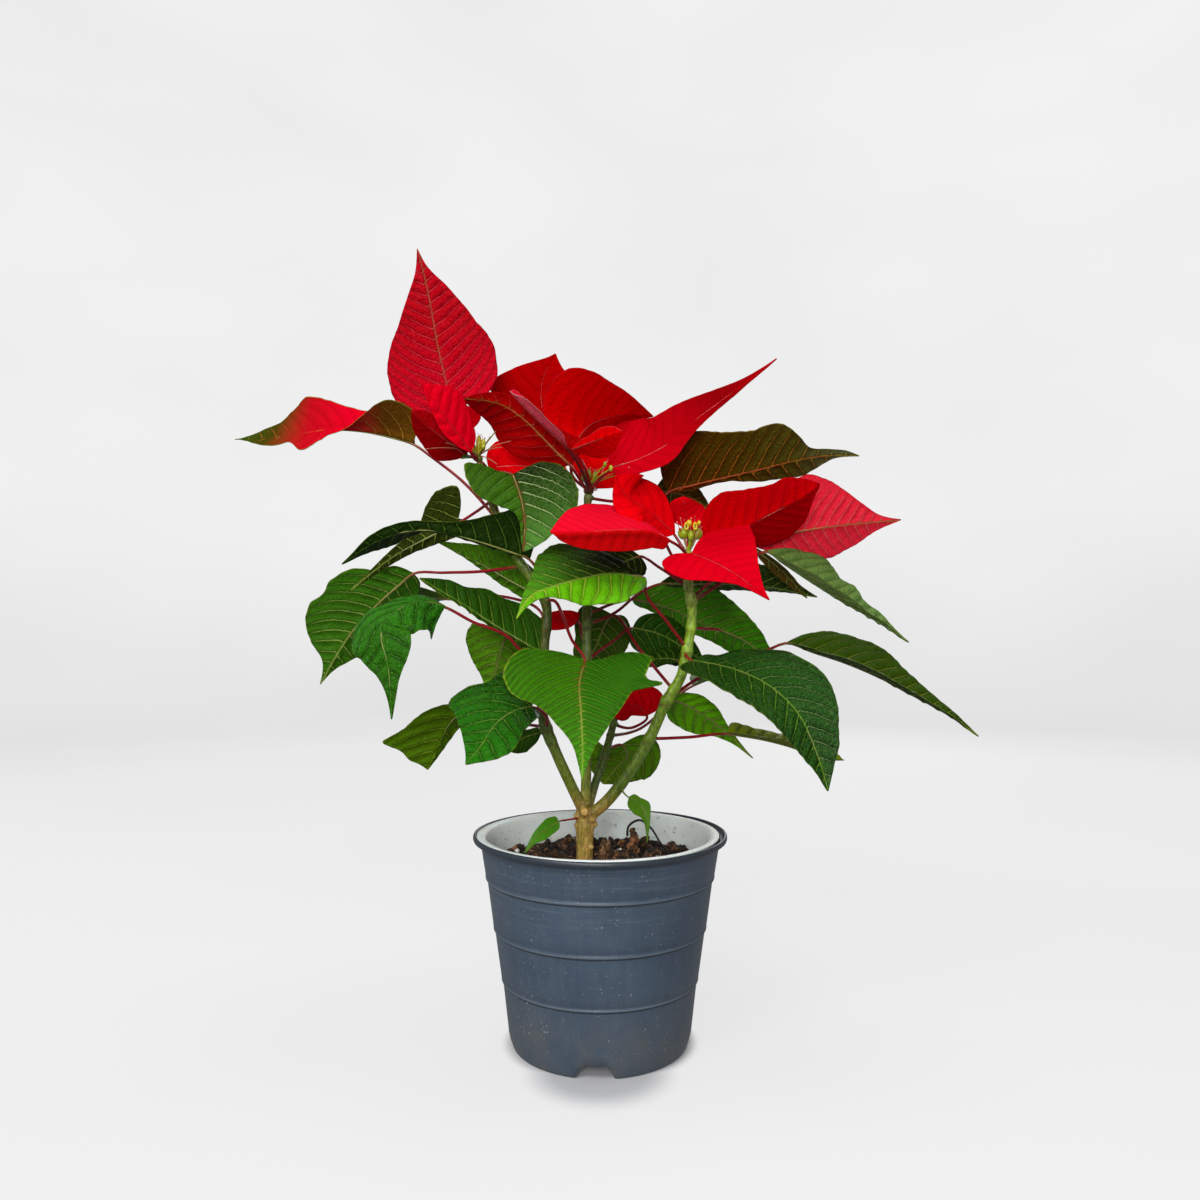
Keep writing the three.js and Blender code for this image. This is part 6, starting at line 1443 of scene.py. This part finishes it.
def soil_litter():
    """Crumbs, fibres, bark chips, perlite and a dry stalk on the bed."""
    rng = np.random.default_rng(12)
    parts = []

    def scattered():
        """A random place on the soil and its height."""
        r, a = LITTER_REACH * math.sqrt(rng.random()), rng.uniform(0, 2 * math.pi)
        x, y = r * math.cos(a) + LINER_SHIFT, r * math.sin(a)
        return x, y, height_at(x, y)

    def from_trunk(x, y):
        return math.hypot(x - TRUNK_X, y)

    for k in range(CRUMBS):
        x, y, z = scattered()
        big = rng.random() ** 4
        size = np.array([0.8 + 3.8 * big, 0.7 + 2.2 * big, 0.5 + 1.6 * big]) * rng.uniform(0.7, 1.3)
        if from_trunk(x, y) >= 5.5 + size[0]:
            colour = BROWNS[int(rng.integers(len(BROWNS)))]
            parts.append(crumb((x, y, z + 0.45 * size[2]), size, 1000 + k, colour, 0.7))
    for k in range(FIBRES):
        x, y, z = scattered()
        turn, span = rng.uniform(0, 2 * math.pi), rng.uniform(3, 10)
        x2, y2 = x + span * math.cos(turn), y + span * math.sin(turn)
        if from_trunk(x, y) < 8 or math.hypot(x2, y2) > LITTER_REACH or from_trunk(x2, y2) < 7:
            continue
        z2 = height_at(x2, y2)
        middle = ((x + x2) / 2, (y + y2) / 2, max(z, z2) + rng.uniform(0.4, 2.4))
        parts.append(tube([(x, y, z + 0.2), middle, (x2, y2, z2 + 0.2)], [0.34, 0.2], 5, 8, STRAWS[k % 3]))
    for (x, y, rise), (wide, deep, tall), colour in CHIPS:
        foot = SOIL_LEVEL + soil_relief(x, y) - 1
        for k in range(LUMPS):
            up = k / (LUMPS - 1)
            narrow = 1 - 0.72 * up ** 1.4
            place = (x + wide * 0.62 * narrow * rng.uniform(-1, 1),
                     y + deep * 0.62 * narrow * rng.uniform(-1, 1), foot + (rise + tall * 0.7) * up)
            size = [rng.uniform(1.3, 2.8), rng.uniform(1.2, 2.4), rng.uniform(1.2, 2.6)]
            tone = np.asarray(colour) * rng.uniform(0.3, 1.6) * (0.35 if up > 0.85 else 1.0)
            size = np.array(size) * (0.6 + 0.5 * narrow)
            parts.append(crumb(place, size, 5000 + int(x) * 40 + k, tone, 1.0))
    for k, (x, y) in enumerate(PERLITE):
        parts.append(crumb((x, y, height_at(x, y) + 2.0), (1.9, 1.6, 1.6), 90 + k, PERLITE_WHITE, 0.8))
    parts.append(tube(DRY_STALK, [0.75, 0.65, 0.45], 7, 40, STALK_BROWN))
    return parts


dress(mesh_piece("soil_surface", [soil_bed()] + soil_litter(), [soil_material()]), "soil", "soil")


# ------------------------------------------------------------------ floor, light and camera, in metres

STAGE_RADIUS = 3.2
STAGE_BEND = 0.9
STAGE_HEIGHT = 4.5
# places on the floor that take the full shadow: middle, reach across and deep, start and end of the fade
FOOT_SHADES = (((0.0, 0.0), (0.051, 0.051), (0.98, 1.16)), ((0.0, -0.042), (0.046, 0.046), (0.50, 1.0)))
# name, place, aim, size and power in watts
LIGHTS = (("key", (-0.7, -1.1, 1.4), (0, 0, 0.28), 0.6, 13.0),
          ("front", (-0.15, -1.5, 0.65), (0, 0, 0.2), 0.6, 13.0),
          ("top", (0.15, 0.15, 1.6), (0, 0, 0.2), 0.8, 11.0),
          ("back", (0.5, 1.6, 0.9), (0, 0, 0.25), 1.0, 7.0))
ROOM_COLOUR = (0.97, 0.98, 1.0, 1)
ROOM_STRENGTH = 0.27
CAMERA_PLACE = (0, -0.564, 0.239)
CAMERA_TILT = 92.07             # degrees from straight down
CAMERA_LENS = 28.2              # mm, on a sensor 36 mm wide


def stage_material():
    """Plain pale paper, mostly lit of itself; close round the foot of the pot it takes the full shadow."""
    n = Nodes("studio_paper")
    where = n.place()
    shades = []
    for (x, y), (wide, deep), (start, end) in FOOT_SHADES:
        shifted = n.vector("ADD", where, (-x, -y, 0.0))
        away = n.add("ShaderNodeVectorMath", n.scaled(shifted, (1 / wide, 1 / deep, 0.0)), operation="LENGTH")
        shades.append(n.ramp(away.outputs["Value"], start, end, 1.0, 0.0))
    near_foot = n.math("MAXIMUM", *shades)
    cloudy = n.noise(n.scaled(where, (1.0, 1.0, 1.6)), 0.9, 2, 0.5)
    rise = n.ramp(n.split(where)[2], 0.0, 0.8, 0.0, 0.09)
    level = n.plus(n.math("MULTIPLY_ADD", cloudy, 0.12, 0.67), rise)
    n.link(n.mix(near_foot, n.gray(level), (0.0, 0.0, 0.0)), n.shader.inputs["Emission Color"])
    paper = n.mix(near_foot, (0.12, 0.121, 0.123), (0.66, 0.66, 0.67))
    return n.finish(paper, 0.9, Emission_Strength=1.0, Specular_IOR_Level=0.0)


def stage_piece():
    """A round pale stage that curves up into a wall on every side."""
    edge = STAGE_RADIUS - STAGE_BEND
    profile = [(r, 0.0) for r in np.linspace(0, edge, 12)[1:]]
    profile += [(edge + STAGE_BEND * math.sin(a), STAGE_BEND * (1 - math.cos(a)))
                for a in np.linspace(0, math.pi / 2, 20)[1:]]
    profile.append((STAGE_RADIUS, STAGE_HEIGHT))
    sides = 96
    verts = np.concatenate([circle(r, turns(sides), z) for r, z in profile] + [[[0, 0, 0]]])
    faces = [tuple(reversed(face)) for face in grid_faces(len(profile), sides, wrap=True)]
    faces += [(len(verts) - 1, k, (k + 1) % sides) for k in range(sides)]
    mesh = bpy.data.meshes.new("stage")
    mesh.from_pydata(verts.tolist(), [], faces)
    mesh.polygons.foreach_set("use_smooth", [True] * len(faces))
    mesh.materials.append(stage_material())
    stage = add_object("studio_stage", mesh)
    stage.visible_diffuse = False
    stage.visible_glossy = False
    stage.visible_shadow = False
    return stage


stage_piece()

world = bpy.data.worlds.new("soft_room")
world.use_nodes = True
background = world.node_tree.nodes["Background"].inputs
background["Color"].default_value = ROOM_COLOUR
background["Strength"].default_value = ROOM_STRENGTH
bpy.context.scene.world = world
for name, place, aim, size, power in LIGHTS:
    light = bpy.data.lights.new(name, "AREA")
    light.size = size
    light.energy = power
    lamp = add_object(name, light)
    lamp.location = place
    lamp.rotation_euler = (Vector(aim) - Vector(place)).to_track_quat("-Z", "Y").to_euler()

camera = add_object("camera", bpy.data.cameras.new("camera"))
camera.data.lens = CAMERA_LENS
camera.data.sensor_width = 36
camera.location = CAMERA_PLACE
camera.rotation_euler = (math.radians(CAMERA_TILT), 0, 0)
bpy.context.scene.camera = camera
bpy.context.scene.view_settings.view_transform = "Standard"
